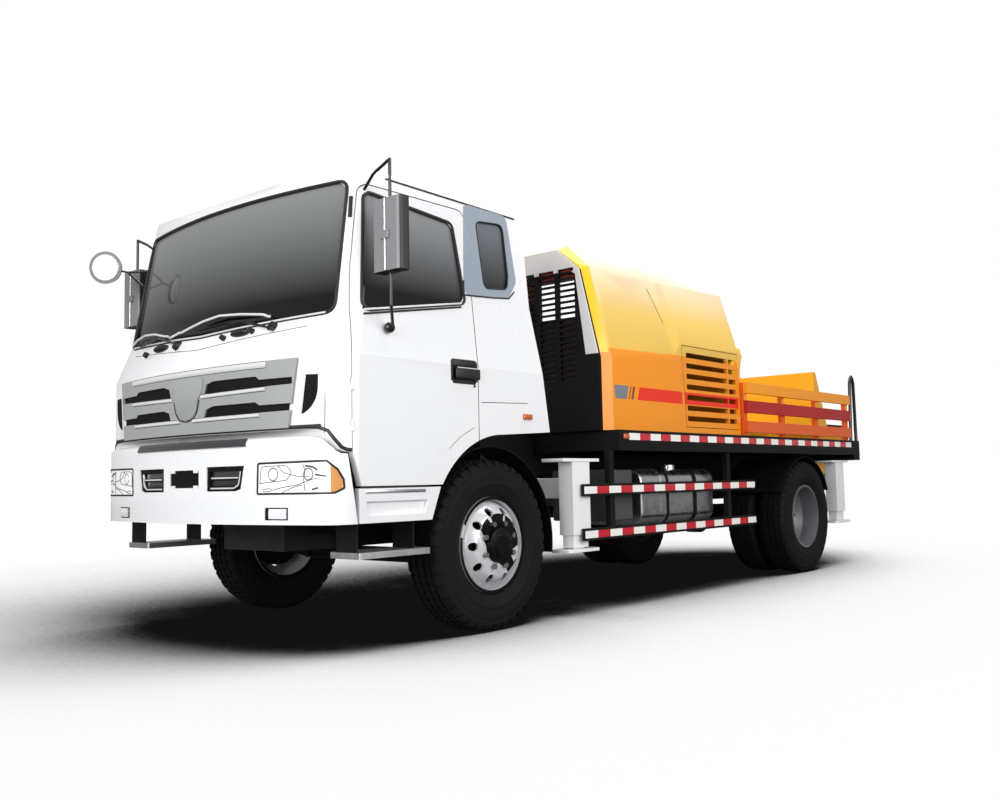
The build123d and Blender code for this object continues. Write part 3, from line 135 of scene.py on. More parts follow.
def finish(name, code, rough=0.5, metal=0.0, coat=0.0, tone=0.05, tone_scale=2.0, grain_scale=300.0,
           grain=0.02, swing=0.06, dust=0.0, **sockets):
    """A painted, cast or moulded finish: soft tone changes, uneven gloss, fine grain and dust low down."""
    mat, tree, shader, place = bare_finish(name)
    broad = clouds(tree, place, tone_scale)
    base = tint(code)
    darker = tuple(c * (1 - tone) for c in base[:3]) + (1.0,)
    lighter = tuple(min(1.0, c * (1 + tone)) for c in base[:3]) + (1.0,)
    colour = blended(tree, broad, "Fac", darker, lighter)
    if dust:
        fade = spread(tree, height_of(tree, place), "Z", DUST_LOW, DUST_HIGH, dust, 0.0)
        patches = clouds(tree, place, 9.0, 5.0)
        amount = tree.nodes.new("ShaderNodeMath")
        amount.operation = "MULTIPLY"
        link(tree, fade, "Result", amount, 0)
        link(tree, patches, "Fac", amount, 1)
        colour = blended(tree, amount, "Value", colour, tint(DUST))
    tree.links.new(colour, shader.inputs["Base Color"])
    gloss = spread(tree, broad, "Fac", *MOST_NOISE, max(0.02, rough - swing), min(1.0, rough + swing))
    link(tree, gloss, "Result", shader, "Roughness")
    fine = clouds(tree, place, grain_scale, 2.0)
    bump = tree.nodes.new("ShaderNodeBump")
    bump.inputs["Strength"].default_value = grain
    bump.inputs["Distance"].default_value = 0.001
    link(tree, fine, "Fac", bump, "Height")
    link(tree, bump, "Normal", shader, "Normal")
    shader.inputs["Metallic"].default_value = metal
    shader.inputs["Coat Weight"].default_value = coat
    shader.inputs["Coat Roughness"].default_value = 0.06
    for socket, value in sockets.items():
        shader.inputs[socket.replace("_", " ")].default_value = value
    return mat


def window_glass(name, low, high, dark, light):
    """Smoked glass whose colour lightens upward between two heights: dark tint below, a painted reflection
    above.
    """
    mat, tree, shader, place = bare_finish(name)
    fade = spread(tree, height_of(tree, place), "Z", low, high, 0.0, 1.0)
    uneven = spread(tree, clouds(tree, place, 1.3), "Fac", *MOST_NOISE, 0.02, 0.07)
    tree.links.new(blended(tree, fade, "Result", tint(dark), tint(light)), shader.inputs["Base Color"])
    link(tree, uneven, "Result", shader, "Roughness")
    shader.inputs["Alpha"].default_value = 0.94
    shader.inputs["IOR"].default_value = 1.5
    mat.surface_render_method = "BLENDED"
    return mat


def banded(name, stops, way, rough):
    """Paint whose colour changes along a direction, and for the hood a painted highlight too: (level, code)
    stops, the levels measured by stations.
    """
    mat, tree, shader, place = bare_finish(name)
    along = tree.nodes.new("ShaderNodeVectorMath")
    along.operation = "DOT_PRODUCT"
    along.inputs[1].default_value = way
    link(tree, place, "Object", along, 0)
    low, high = stops[0][0], stops[-1][0]
    shift = way[1] * AXLE
    level = spread(tree, along, "Value", low + shift, high + shift, 0.0, 1.0)
    ramp = tree.nodes.new("ShaderNodeValToRGB")
    marks = ramp.color_ramp.elements
    while len(marks) < len(stops):
        marks.new(0.5)
    for mark, (at, code) in zip(marks, stops):
        mark.position = (at - low) / (high - low)
        mark.color = (*tint(code)[:3], 1)
    link(tree, level, "Result", ramp, "Fac")
    link(tree, ramp, "Color", shader, "Base Color")
    shader.inputs["Roughness"].default_value = rough
    shader.inputs["Coat Weight"].default_value = 0.15
    return mat


DULL = {"Specular_IOR_Level": 0.15}     # for blacks that shine little


WHITE = finish("cab white paint", "eff0f2", 0.30, coat=0.6, tone=0.012, grain=0.01, swing=0.04)
YELLOW = finish("hood yellow paint", "f8b01c", 0.38, coat=0.15, tone=0.03, grain=0.015)
ORANGE = finish("board orange paint", "f79a12", 0.42, coat=0.1, tone=0.05, grain=0.02)
ORANGE_LOW = finish("deep orange paint", "de5a0c", 0.42, coat=0.1, tone=0.05, grain=0.02)
RED_BOARD = finish("dark red board paint", "ab1004", 0.45, coat=0.05, tone=0.08)
CHASSIS = finish("chassis black paint", "0a0b0c", 0.55, tone=0.15, grain_scale=180, grain=0.08, dust=0.05,
                 **DULL)
DECK = finish("deck black paint", "0f0f10", 0.5, tone=0.12, grain_scale=150, grain=0.06, **DULL)
PLASTIC = finish("grained black plastic", "0b0c0d", 0.6, tone=0.1, grain_scale=900, grain=0.12, **DULL)
TRIM_BLACK = finish("gloss black trim", "0c0c0d", 0.25, coat=0.3, tone=0.1)
FASCIA = finish("hood fascia grey plastic", "e2dfdd", 0.45, tone=0.03, grain_scale=700, grain=0.06)
MIRROR_SIDE = finish("mirror housing dark side", "1d1d20", 0.42, tone=0.04, grain_scale=700, grain=0.08)
MIRROR_GREY = finish("mirror housing grey", "828385", 0.42, tone=0.04, grain_scale=700, grain=0.08)
GRILLE = finish("grille silver grey", "a2a4a5", 0.34, metal=0.1, coat=0.3, tone=0.03)
CHROME = finish("chrome trim", "e6e7e8", 0.08, metal=1.0, tone=0.01, grain=0.0, swing=0.03)
ALUMINIUM = finish("bare aluminium", "c9cbce", 0.28, metal=1.0, tone_scale=14, grain_scale=260, grain=0.05)
TREAD_PLATE = finish("step aluminium", "bfc1c3", 0.38, metal=0.9, tone=0.06, tone_scale=20, grain_scale=120,
                     grain=0.3)
SILVER = finish("jack silver paint", "f0f1f2", 0.35, coat=0.2, tone=0.03, dust=0.05)
WHEEL = finish("wheel silver paint", "dcdde0", 0.30, metal=0.35, coat=0.3, tone=0.05, tone_scale=8, dust=0.04)
# the wheel silver darkened for the rear rims: painted shade
WHEEL_PAINTED_SHADE = finish("wheel paint darkened as painted shade", "77787c", 0.45, metal=0.3, tone=0.06, tone_scale=8)
HUB = finish("black hub paint", "08080a", 0.42, metal=0.2, tone=0.2, **DULL)
TYRE = finish("tyre rubber", "0f0f10", 0.72, tone=0.16, tone_scale=6, grain_scale=420, grain=0.12, dust=0.02,
              **DULL)
CAST = finish("cast engine grey", "26282a", 0.6, metal=0.4, tone=0.12, grain_scale=120, grain=0.25, dust=0.2,
              **DULL)
BOX_GREY = finish("battery box grey", "43464a", 0.55, tone=0.08, grain_scale=500, grain=0.08)
CLOTH = finish("seat cloth", "2c2d30", 0.9, tone=0.15, tone_scale=40, grain_scale=1200, grain=0.5,
               Sheen_Weight=0.4)
LINING = finish("cab lining", "3a3b3d", 0.8, tone=0.06, grain_scale=700, grain=0.15)
TAPE_RED = finish("red reflective tape", "c21426", 0.3, tone=0.04, grain_scale=260, grain=0.3, coat=0.5)
TAPE_WHITE = finish("white reflective tape", "f4f2ec", 0.3, tone=0.02, grain_scale=260, grain=0.3, coat=0.5)
AMBER = finish("amber lens", "d9662a", 0.15, coat=0.8, tone=0.04, Transmission_Weight=0.25)
LAMP_RED = finish("red lens", "a3141a", 0.15, coat=0.8, tone=0.04, Transmission_Weight=0.2)
STEEL = finish("bare steel", "8f9194", 0.35, metal=1.0, tone=0.06, grain_scale=200, grain=0.05)
# each glass lightens towards its top: a painted reflection of the bright surroundings over the dark tint
SCREEN_GLASS = window_glass("smoked windscreen glass with painted reflection", 1.96, 2.66, "020202", "8e9090")
DOOR_GLASS = window_glass("smoked door glass with painted reflection", 2.0, 2.54, "020203", "989a9c")
# the lens's faint glow is painted light that lifts it out of shade; the lamps are not lit
LAMP_CLEAR = finish("clear lamp lens with painted glow", "fbfcfc", 0.12, coat=0.9, tone=0.03, tone_scale=18, grain=0.0,
                    Emission_Strength=0.12)
STRIPE_RED = finish("red stripe paint", "ea2808", 0.4, coat=0.1, tone=0.03)
STRIPE_GREY = finish("grey stripe paint", "747a86", 0.34, coat=0.5, tone=0.03)
STRIPE_BROWN = finish("brown stripe paint", "8a3a1c", 0.34, coat=0.5, tone=0.03)
EDGE_YELLOW = finish("bright yellow edge", "ffc61a", 0.34, coat=0.5, tone=0.02)
# a glowing sheet that paints the daylight seen through the hood's slots
SLOT_WHITE = finish("painted daylight glow behind the slots", "ffffff", 0.9, tone=0.0, grain=0.0, Emission_Strength=0.9)
SLOT_RED = finish("red core behind the slots", "9c3a30", 0.7, tone=0.2, tone_scale=10)
SLOT_BROWN = finish("dark core behind the slots", "2e1a12", 0.7, tone=0.2, tone_scale=10)
# orange below the crease and yellow above it are the hood's two tone paint; the fade to near white towards
# the top is a painted highlight
HOOD_PAINT_AND_HIGHLIGHT = banded("hood two tone paint with painted highlight",
                    ((1.50, "ef900a"), (1.836, "ef900a"), (1.846, "e4b84f"), (2.14, "e9c463"),
                     (2.42, "eed3ac"), (2.66, "f3e3d3")), (0, -0.023, 1), 0.4)
# the corner mirror's glass as a light grey: painted reflection
MIRROR_FACE_REFLECTION = finish("mirror face painted grey as reflection", "a9acae", 0.25, metal=0.2, coat=0.4, tone=0.10, tone_scale=9,
                      grain=0.0)
RUBBER = finish("black rubber", "101011", 0.45, tone=0.1, grain_scale=800, grain=0.05)
BRIGHT = finish("bright plated strip", "f2f3f3", 0.22, metal=0.35, coat=0.5, tone=0.01, grain=0.0, swing=0.03)
TREAD_BLACK = finish("glossy dark tread strip", "2c2e31", 0.22, coat=0.6, grain_scale=500, grain=0.05)
FOG_GLASS = finish("fog lamp lens", "eceef0", 0.12, coat=0.8, tone=0.02, grain=0.0)
AMBER_CLEAR = finish("clear amber lens", "e8a35c", 0.12, coat=0.8, tone=0.03, Transmission_Weight=0.2)
QUARTER_GREY = finish("blue grey window panel", "96a1ad", 0.28, coat=0.5, tone=0.02, grain=0.01)
# the lighter top of the rear glass is a painted reflection
REAR_GLASS = window_glass("smoked rear glass with painted reflection", 2.1, 2.6, "0c0d0e", "787e84")


# ---- building --------------------------------------------------------------------------------
# a strip's section, in half widths and heights
STRIP_SECTION = ((-1, -0.6), (-1, 0.4), (-0.6, 1), (0.6, 1), (1, 0.4), (1, -0.6))
ARC_STEPS = 5                       # points that round a corner of an outline
CORNER_SHARE = 0.45                 # the most of an edge that a rounded corner takes
AWAY = 4.0                          # a distance well outside the truck
SAME_PLACE = 0.00002
FLAT_WITHIN = math.radians(0.4)
ROUNDED_FROM = math.radians(32)     # edges flatter than this stay as they are


def only(made, kind):
    """The vertices, edges or faces among what an operator made."""
    return [thing for thing in made if isinstance(thing, kind)]


def all_of(shape):
    return shape.verts[:] + shape.edges[:] + shape.faces[:]


def mesh_of(name, shape):
    """The bmesh as a mesh, and the bmesh is freed."""
    mesh = bpy.data.meshes.new(name)
    shape.to_mesh(mesh)
    shape.free()
    return mesh


def merged(whole, part):
    """Adds a bmesh to another and frees it."""
    mesh = mesh_of("part", part)
    whole.from_mesh(mesh)
    bpy.data.meshes.remove(mesh)


def in_scene(name, data):
    thing = bpy.data.objects.new(name, data)
    bpy.context.scene.collection.objects.link(thing)
    return thing


def add_box(shape, x0, x1, y0, y1, z0, z1):
    place = Matrix.Translation(((x0 + x1) / 2, (y0 + y1) / 2, (z0 + z1) / 2))
    size = Matrix.Diagonal((abs(x1 - x0), abs(y1 - y0), abs(z1 - z0), 1))
    return bmesh.ops.create_cube(shape, size=1, matrix=place @ size)["verts"]


def add_rod(shape, start, end, r, r_end=None, sides=16):
    """A rod between two points, or a cone where its end has another radius."""
    start, end = Vector(start), Vector(end)
    run = end - start
    turn = run.to_track_quat("Z", "Y").to_matrix().to_4x4()
    place = Matrix.Translation((start + end) / 2) @ turn
    r_end = r if r_end is None else r_end
    return bmesh.ops.create_cone(shape, cap_ends=True, segments=sides, radius1=r, radius2=r_end,
                                 depth=run.length, matrix=place)["verts"]


def add_ball(shape, at, r, squash=(1, 1, 1)):
    place = Matrix.Translation(at) @ Matrix.Diagonal((*squash, 1))
    bmesh.ops.create_uvsphere(shape, u_segments=20, v_segments=12, radius=r, matrix=place)


def add_plate(shape, outline, axis, a, b):
    """A flat outline of two coordinates, extruded from a to b along the third."""
    def point(p, level):
        rest = list(p)
        rest.insert(axis, level)
        return rest
    face = shape.faces.new([shape.verts.new(point(p, a)) for p in outline])
    made = bmesh.ops.extrude_face_region(shape, geom=[face])["geom"]
    verts = only(made, bmesh.types.BMVert)
    step = [0, 0, 0]
    step[axis] = b - a
    bmesh.ops.translate(shape, vec=step, verts=verts)
    bmesh.ops.recalc_face_normals(shape, faces=list({f for v in verts for f in v.link_faces} | {face}))
    return verts + list(face.verts)


def add_tube(shape, points, r):
    """A bent tube: rods with a ball at each bend."""
    for start, end in zip(points, points[1:]):
        add_rod(shape, start, end, r, sides=12)
    for bend in points[1:-1]:
        bmesh.ops.create_icosphere(shape, subdivisions=2, radius=r, matrix=Matrix.Translation(bend))


def add_spun(shape, profile, middle, steps):
    """Turns (across, radius) points about a cross axis through a middle."""
    verts = [shape.verts.new((middle.x + w, middle.y, middle.z + r)) for w, r in profile]
    edges = [shape.edges.new(pair) for pair in zip(verts, verts[1:])]
    bmesh.ops.spin(shape, geom=verts + edges, cent=middle, axis=(1, 0, 0), dvec=(0, 0, 0), angle=math.tau,
                   steps=steps, use_merge=True, use_duplicate=False)


def swept(shape, path, half_w, half_h, closed=False):
    """A low strip with bevelled edges along (place, normal) pairs, as wide as 2 half_w across the normal."""
    count, corners = len(path), len(STRIP_SECTION)
    rings = []
    for n, (place, normal) in enumerate(path):
        before = path[(n - 1) % count][0] if closed or n else place
        after = path[(n + 1) % count][0] if closed or n < count - 1 else place
        across = normal.cross(after - before).normalized()
        rings.append([shape.verts.new(place + across * (half_w * a) + normal * (half_h * b))
                      for a, b in STRIP_SECTION])
    for n in range(count if closed else count - 1):
        one, two = rings[n], rings[(n + 1) % count]
        for k in range(corners):
            shape.faces.new((one[k], one[(k + 1) % corners], two[(k + 1) % corners], two[k]))
    if not closed:
        shape.faces.new(rings[0])
        shape.faces.new(list(reversed(rings[-1])))
    bmesh.ops.recalc_face_normals(shape, faces=shape.faces)


def loop_of(corners, r, step=0.05, closed=True):
    """Flat points along an outline, its corners rounded to r, with no two further apart than step."""
    corners = [Vector(c) for c in corners]
    count = len(corners)
    points = []
    for n, corner in enumerate(corners):
        if not closed and n in (0, count - 1):
            points.append(corner)
            continue
        to_last, to_next = corners[n - 1] - corner, corners[(n + 1) % count] - corner
        turn = to_last.angle(to_next)
        reach = min(r / math.tan(turn / 2), CORNER_SHARE * to_last.length, CORNER_SHARE * to_next.length)
        start, end = corner + to_last.normalized() * reach, corner + to_next.normalized() * reach
        for k in range(ARC_STEPS + 1):
            t = k / ARC_STEPS
            points.append(start * (1 - t) ** 2 + corner * 2 * t * (1 - t) + end * t ** 2)
    dense = []
    total = len(points)
    for n in range(total if closed else total - 1):
        one, two = points[n], points[(n + 1) % total]
        parts = max(1, math.ceil((two - one).length / step))
        dense += [one.lerp(two, k / parts) for k in range(parts)]
    return dense if closed else dense + [points[-1]]


def skin_of(*nodes):
    """The surface of some CAD nodes, in station coordinates, to lay trim on."""
    verts, faces = [], []
    for node in nodes:
        mesh = NODES[node].data
        first = len(verts)
        verts += [vert.co - SHIFT for vert in mesh.vertices]
        faces += [[first + n for n in face.vertices] for face in mesh.polygons]
    return BVHTree.FromPolygons(verts, faces)


def laid(skin, points, look, lift=0.0):
    """Where flat points land on a skin: (x, z) seen from the front, or (station, z) seen from a side."""
    path = []
    for a, z in points:
        if look == "front":
            start, way = Vector((a, -AWAY, z)), Vector((0, 1, 0))
        else:
            start, way = Vector((AWAY * look, a, z)), Vector((-look, 0, 0))
        place, normal, _, _ = skin.ray_cast(start, way)
        if place is not None:
            normal = normal if normal.dot(way) < 0 else -normal
            path.append((place + normal * lift, normal))
    return path


def both_sides(shape):
    """Adds the mirror image on the truck's other side."""
    made = bmesh.ops.duplicate(shape, geom=all_of(shape))["geom"]
    bmesh.ops.scale(shape, vec=(-1, 1, 1), verts=only(made, bmesh.types.BMVert))
    bmesh.ops.reverse_faces(shape, faces=only(made, bmesh.types.BMFace))


def rounded(shape, verts, width, segments=2):
    """Rounds the edges between the verts just made."""
    chosen = set(verts)
    edges = [e for e in shape.edges if e.verts[0] in chosen and e.verts[1] in chosen]
    bmesh.ops.bevel(shape, geom=edges, offset=width, offset_type="OFFSET", affect="EDGES", segments=segments,
                    profile=0.5, material=-1, clamp_overlap=True)


def placed(name, shape, body, finishes, smooth=35, bevel=0.0, replaces=(), chooser=None, shifted=True):
    """Makes the bmesh, drawn by stations, a piece on its body with its finish and slot."""
    if shifted:
        bmesh.ops.translate(shape, vec=SHIFT, verts=shape.verts)
    mesh = mesh_of(name, shape)
    for one in finishes if isinstance(finishes, list) else [finishes]:
        mesh.materials.append(one)
    if chooser:
        for face in mesh.polygons:
            face.material_index = chooser(face.center - SHIFT, face.normal)
    mesh.shade_smooth()
    mesh.set_sharp_from_angle(angle=math.radians(smooth))
    piece = in_scene(name, mesh)
    if bevel:
        edge = piece.modifiers.new("edges", "BEVEL")
        edge.width = bevel
        edge.segments = 2
        edge.limit_method = "ANGLE"
        edge.angle_limit = ROUNDED_FROM
        edge.harden_normals = True
        edge.use_clamp_overlap = True
    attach(piece, body)
    if replaces:
        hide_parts(*replaces)
    return piece


def dressed(node, finishes, bevel=0.003, chooser=None, cuts=()):
    """A copy of a CAD node with its loose triangles merged and its edges rounded, in its own finish.

    Its faces are cut along planes (place, normal) where paints meet.
    """
    source = NODES[node]
    shape = bmesh.new()
    shape.from_mesh(source.data)
    bmesh.ops.remove_doubles(shape, verts=shape.verts, dist=SAME_PLACE)
    bmesh.ops.dissolve_limit(shape, angle_limit=FLAT_WITHIN, verts=shape.verts, edges=shape.edges,
                             delimit={"NORMAL"})
    for place, normal in cuts:
        bmesh.ops.bisect_plane(shape, geom=all_of(shape), plane_co=Vector(place) + SHIFT, plane_no=normal)
    placed(f"dressed_{node}", shape, source["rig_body"], finishes, smooth=30, bevel=bevel,
           replaces=(node,), chooser=chooser, shifted=False)


def coated(node, *finishes):
    """Gives a CAD node its finish as it is."""
    slots = NODES[node].data.materials
    slots.clear()
    for one in finishes:
        slots.append(one)


# ---- wheels ----------------------------------------------------------------------------------
# one half of the tyre's section from its bead to its middle, as (across, radius)
TYRE_EDGE = ((-0.1055, 0.2856), (-0.1055, 0.3030), (-0.1100, 0.3070), (-0.1160, 0.3090), (-0.1180, 0.3160),
             (-0.1240, 0.3250), (-0.1300, 0.3450), (-0.1350, 0.3700), (-0.1362, 0.3720), (-0.1368, 0.3890),
             (-0.1356, 0.3910), (-0.1375, 0.4050), (-0.1372, 0.4300), (-0.1350, 0.4560), (-0.1338, 0.4580),
             (-0.1320, 0.4700), (-0.1330, 0.4740))
SHOULDER = ((-0.1290, 0.4860), (-0.1240, 0.5010), (-0.1150, 0.5140), (-0.1040, 0.5215), (-0.0860, 0.5248))
CROWN_RIBS = ((-0.0840, 0.5120), (-0.0740, 0.5120), (-0.0720, 0.5262), (-0.0340, 0.5270), (-0.0320, 0.5130),
              (-0.0220, 0.5130), (-0.0200, 0.5270))
TREAD_STEPS = 120
# slots over the shoulders at every third step, and fine cuts in the ribs at every second one
SLOT_FROM, SLOT_TO, SLOT_R, SLOT_DEPTH = 0.086, 0.131, 0.49, 0.012
SIPE_TO, SIPE_R, SIPE_DEPTH = 0.072, 0.5255, 0.005
TWIN_HALF = 0.16                            # from a twin wheel's middle to each tyre
FRONT_FACE, REAR_FACE = 0.16, 0.012         # from a wheel's middle out to its rim's face
HUB_R, DRUM_R, DRUM_DEPTH = 0.1112, 0.206, 0.018        # the drum lies this far in from the rim's face
NUT_CIRCLE, NUT_R = 0.1375, 0.0175          # radius of the ring of nuts, and how far a nut reaches from it


def treaded_tyre(x_mid, station):
    """A tyre with its grooves, the slots over its shoulders and the fine cuts in its ribs."""
    shape = bmesh.new()
    hub = Vector((x_mid, station, WHEEL_Z))
    half = TYRE_EDGE + SHOULDER + CROWN_RIBS
    add_spun(shape, half + tuple((-w, r) for w, r in reversed(half)) + (half[0],), hub, TREAD_STEPS)
    bmesh.ops.remove_doubles(shape, verts=shape.verts, dist=0.0001)
    bmesh.ops.recalc_face_normals(shape, faces=shape.faces)
    slots, sipes = [], []
    for face in shape.faces:
        gap = face.calc_center_median() - hub
        across, out = abs(gap.x), math.hypot(gap.y, gap.z)
        step = int(math.atan2(gap.y, gap.z) % math.tau / math.tau * TREAD_STEPS)
        if SLOT_FROM < across < SLOT_TO and out > SLOT_R and step % 3 == 0:
            slots.append(face)
        if across < SIPE_TO and out > SIPE_R and step % 2 == 0:
            sipes.append(face)
    for faces, depth in ((slots, SLOT_DEPTH), (sipes, SIPE_DEPTH)):
        made = bmesh.ops.extrude_face_region(shape, geom=faces)["geom"]
        for vert in only(made, bmesh.types.BMVert):
            gap = vert.co - hub
            reach = math.hypot(gap.y, gap.z)
            scale = (reach - depth) / reach
            vert.co = hub + Vector((gap.x, gap.y * scale, gap.z * scale))
        bmesh.ops.delete(shape, geom=faces, context="FACES")
    return shape


def hub_rule(side, face_x, station):
    """1 for the black hub and drum, 2 for the steel nuts, 0 for the rim's silver."""
    def choose(centre, normal):
        radius = math.hypot(centre.y - station, centre.z - WHEEL_Z)
        out = side * centre.x - face_x
        if radius < HUB_R or (out < -DRUM_DEPTH and radius < DRUM_R):
            return 1
        return 2 if abs(radius - NUT_CIRCLE) < NUT_R and out > 0.002 else 0
    return choose


def wheel_tyres(end, side_name, side, station, xs):
    """The treaded tyres of one wheel, a single one or a pair."""
    tyres = bmesh.new()
    for x in xs:
        merged(tyres, treaded_tyre(side * x, station))
    placed(f"treaded_tyre_{end}_{side_name}", tyres, f"wheel_{end}_{side_name}", TYRE, 40,
           replaces=(f"tyre_{end}_{side_name}",))


for side_name, side in SIDES:
    wheel_tyres("front", side_name, side, 0.0, (FRONT_WHEEL_X,))
    wheel_tyres("rear", side_name, side, REAR_AXLE, (TWIN_X - TWIN_HALF, TWIN_X + TWIN_HALF))
    front_rule = hub_rule(side, FRONT_WHEEL_X + FRONT_FACE, 0.0)
    rear_rule = hub_rule(side, TWIN_X + REAR_FACE, REAR_AXLE)
    dressed(f"rim_front_{side_name}", [WHEEL, HUB, STEEL], 0.002, front_rule)
    # the rear rims take the darkened silver, which is painted shade
    dressed(f"rim_rear_{side_name}", [WHEEL_PAINTED_SHADE, HUB, STEEL], 0.002, rear_rule)

# ---- cab -------------------------------------------------------------------------------------
CAB_MIDDLE = Vector((0, -0.45, 1.95))
INNER_HALF, INNER_FRONT, INNER_REAR, INNER_FLOOR = 1.147, -1.387, 0.502, 1.18      # the room inside the skin
AMBER_X = 1.13                              # where a headlamp's amber end begins
CORNER_MIRROR = Vector((-1.120, -1.340, 2.410))
CORNER_LOOK = Vector((0.6464, -0.7586, -0.08)).normalized()     # where the corner mirror faces
CORNER_ARM_R = 0.0075
MIRROR_X, MIRROR_Y, MIRROR_Z = 1.322, -1.0, 2.262       # the middle of a door mirror's housing
MIRROR_HALF = 0.109, 0.046, 0.2             # half its width, depth and height


def inside_cab(centre, normal):
    """1 for faces that look into the cab, 0 for its outside."""
    inner = abs(centre.x) < INNER_HALF and INNER_FRONT < centre.y < INNER_REAR and centre.z > INNER_FLOOR
    return 1 if inner and normal.dot(centre - CAB_MIDDLE) < 0 else 0


def mirror_rule(centre, normal):
    """0 for the front of the mirror's housing, 1 for its sides, 2 for the bars."""
    gaps = abs(abs(centre.x) - MIRROR_X), abs(centre.y - MIRROR_Y), abs(centre.z - MIRROR_Z)
    if any(gap > half for gap, half in zip(gaps, MIRROR_HALF)):
        return 2
    return 0 if normal.y < -0.6 else 1


def corner_mirror():
    """Round corner mirror: black housing, light face whose grey is a painted reflection, and forked arm."""
    black, light = bmesh.new(), bmesh.new()
    middle, way = CORNER_MIRROR, CORNER_LOOK
    add_rod(black, middle - way * 0.016, middle + way * 0.012, 0.104, 0.110, 48)
    rounded(light, add_rod(light, middle + way * 0.011, middle + way * 0.017, 0.097, 0.088, 48), 0.002)
    fork, foot, head = (-1.085, -1.20, 2.395), (-1.056, -1.085, 2.290), (-1.040, -1.065, 2.415)
    add_tube(black, (middle, fork, head), CORNER_ARM_R)
    add_tube(black, (fork, foot), CORNER_ARM_R)
    for place in (foot, head):
        add_ball(black, place, 0.016)
    placed("corner_mirror_body", black, "cab", TRIM_BLACK, 60, replaces=("corner_mirror",))
    placed("corner_mirror_face", light, "cab", MIRROR_FACE_REFLECTION, 60)


dressed("cab_shell", [WHITE, LINING], 0.004, inside_cab)
dressed("bumper", WHITE, 0.004)
dressed("step_panels", WHITE, 0.004)
dressed("grille", GRILLE, 0.002)
coated("grille_backing", PLASTIC)
coated("windscreen", SCREEN_GLASS)
coated("cab_glass", REAR_GLASS)
coated("dashboard", LINING)
coated("cab_hinge", CHASSIS)
coated("wipers", TRIM_BLACK)
corner_mirror()
coated("bumper_vents", PLASTIC)
dressed("headlamps", [LAMP_CLEAR, AMBER_CLEAR], 0.002, lambda centre, normal: int(abs(centre.x) > AMBER_X),
        cuts=[((side * AMBER_X, 0, 0), (1, 0, 0)) for name, side in SIDES])
STEP_BARS_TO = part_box("step_plates")[0].z + 0.045       # bare treads below, black bars above
dressed("step_plates", [TREAD_PLATE, CHASSIS], 0.002, lambda centre, normal: int(centre.z > STEP_BARS_TO))
for side_name, side in SIDES:
    dressed(f"door_{side_name}", [WHITE, LINING], 0.004, inside_cab)
    coated(f"door_glass_{side_name}", DOOR_GLASS)
    dressed(f"door_mirror_{side_name}", [MIRROR_GREY, MIRROR_SIDE, TRIM_BLACK], 0.003, mirror_rule)

# ---- cab trim --------------------------------------------------------------------------------
CAB_SKIN = skin_of("cab_shell", "door_left", "door_right")
BUMPER_SKIN = skin_of("bumper")
LAMP_SKIN = skin_of("headlamps")
GRILLE_SKIN = skin_of("grille")
SCREEN_SKIN = skin_of("windscreen")
DOOR_FACE = 1.19                            # a door's outer face below the waist, from the truck's middle
WAIST_X, WAIST_Z, SIDE_LEAN = 1.165, 1.86, 0.102        # the cab's side leans in above the waist
ON_SKIN = 0.001                             # how far rubber is lifted off a skin

# half the width and the height of each strip
GASKET = 0.010, 0.006
SCREEN_STRIP = 0.0065, 0.004
WIPER_ARM_HIGHLIGHT = 0.0075, 0.005
WIPER_BLADE_AND_SHADOW = 0.011, 0.008
WIPER_SPINE = 0.006, 0.004
COWL_SEAM = 0.002, 0.0012
CREASE_SHADE_LINE = 0.0022, 0.0012
ARCH_CREASE_SHADE = 0.0015, 0.001
DRIP_RAIL = 0.005, 0.006
PILLAR_CLIP = 0.011, 0.005
FRONT_FOOT_STRIP = 0.011, 0.004
CORNER_FOOT_STRIP = 0.010, 0.004
SILL_STRIP = 0.0055, 0.004
DOOR_RUBBER = 0.006, 0.005
GRIP_LINE = 0.003, 0.002
PANEL_FOOT = 0.005, 0.003
PANEL_RUBBER = 0.005, 0.004
# the dark strips below are painted shadow round the bright strips and along the shield's edges
HEAD_STRIP = 0.0165, 0.005
HEAD_SHADOW = 0.0195, 0.002
SLOT_LIP = 0.0105, 0.007
LIP_SHADOW = 0.0135, 0.002
SHIELD_SHADOW_LINE = 0.004, 0.004
TREAD_STRIP = 0.024, 0.008
TREAD_RIB = 0.0025, 0.004
VENT_BACK = 0.056, 0.002
VENT_BAR = 0.0055, 0.006
FOG_LENS = 0.027, 0.004
LAMP_EDGE = 0.0055, 0.004
FACET_LINE = 0.0019, 0.0014
LAMP_MARK = 0.0045, 0.0015
LAMP_RING = 0.004, 0.002
HOOD_SEAM = 0.003, 0.0015
TANK_STRAP = 0.020, 0.005


def row_of(start, step, count):
    """Flat points in a straight row."""
    return [(start[0] + step[0] * n, start[1] + step[1] * n) for n in range(count)]


def shallow_vee(low, rise, count, parts):
    """Flat points of a line that is lowest in the middle and rises by so much for each metre to the sides."""
    return [(n / parts, low + rise * abs(n) / parts) for n in range(-count, count + 1)]


def resampled(points, count):
    """The same closed outline with count evenly spaced points, from its first point on."""
    closed = points + points[:1]
    steps = [(b - a).length for a, b in zip(closed, closed[1:])]
    total, made, walked, n = sum(steps), [], 0.0, 0
    for k in range(count):
        goal = total * k / count
        while walked + steps[n] < goal:
            walked += steps[n]
            n += 1
        made.append(closed[n].lerp(closed[n + 1], (goal - walked) / steps[n]))
    return made


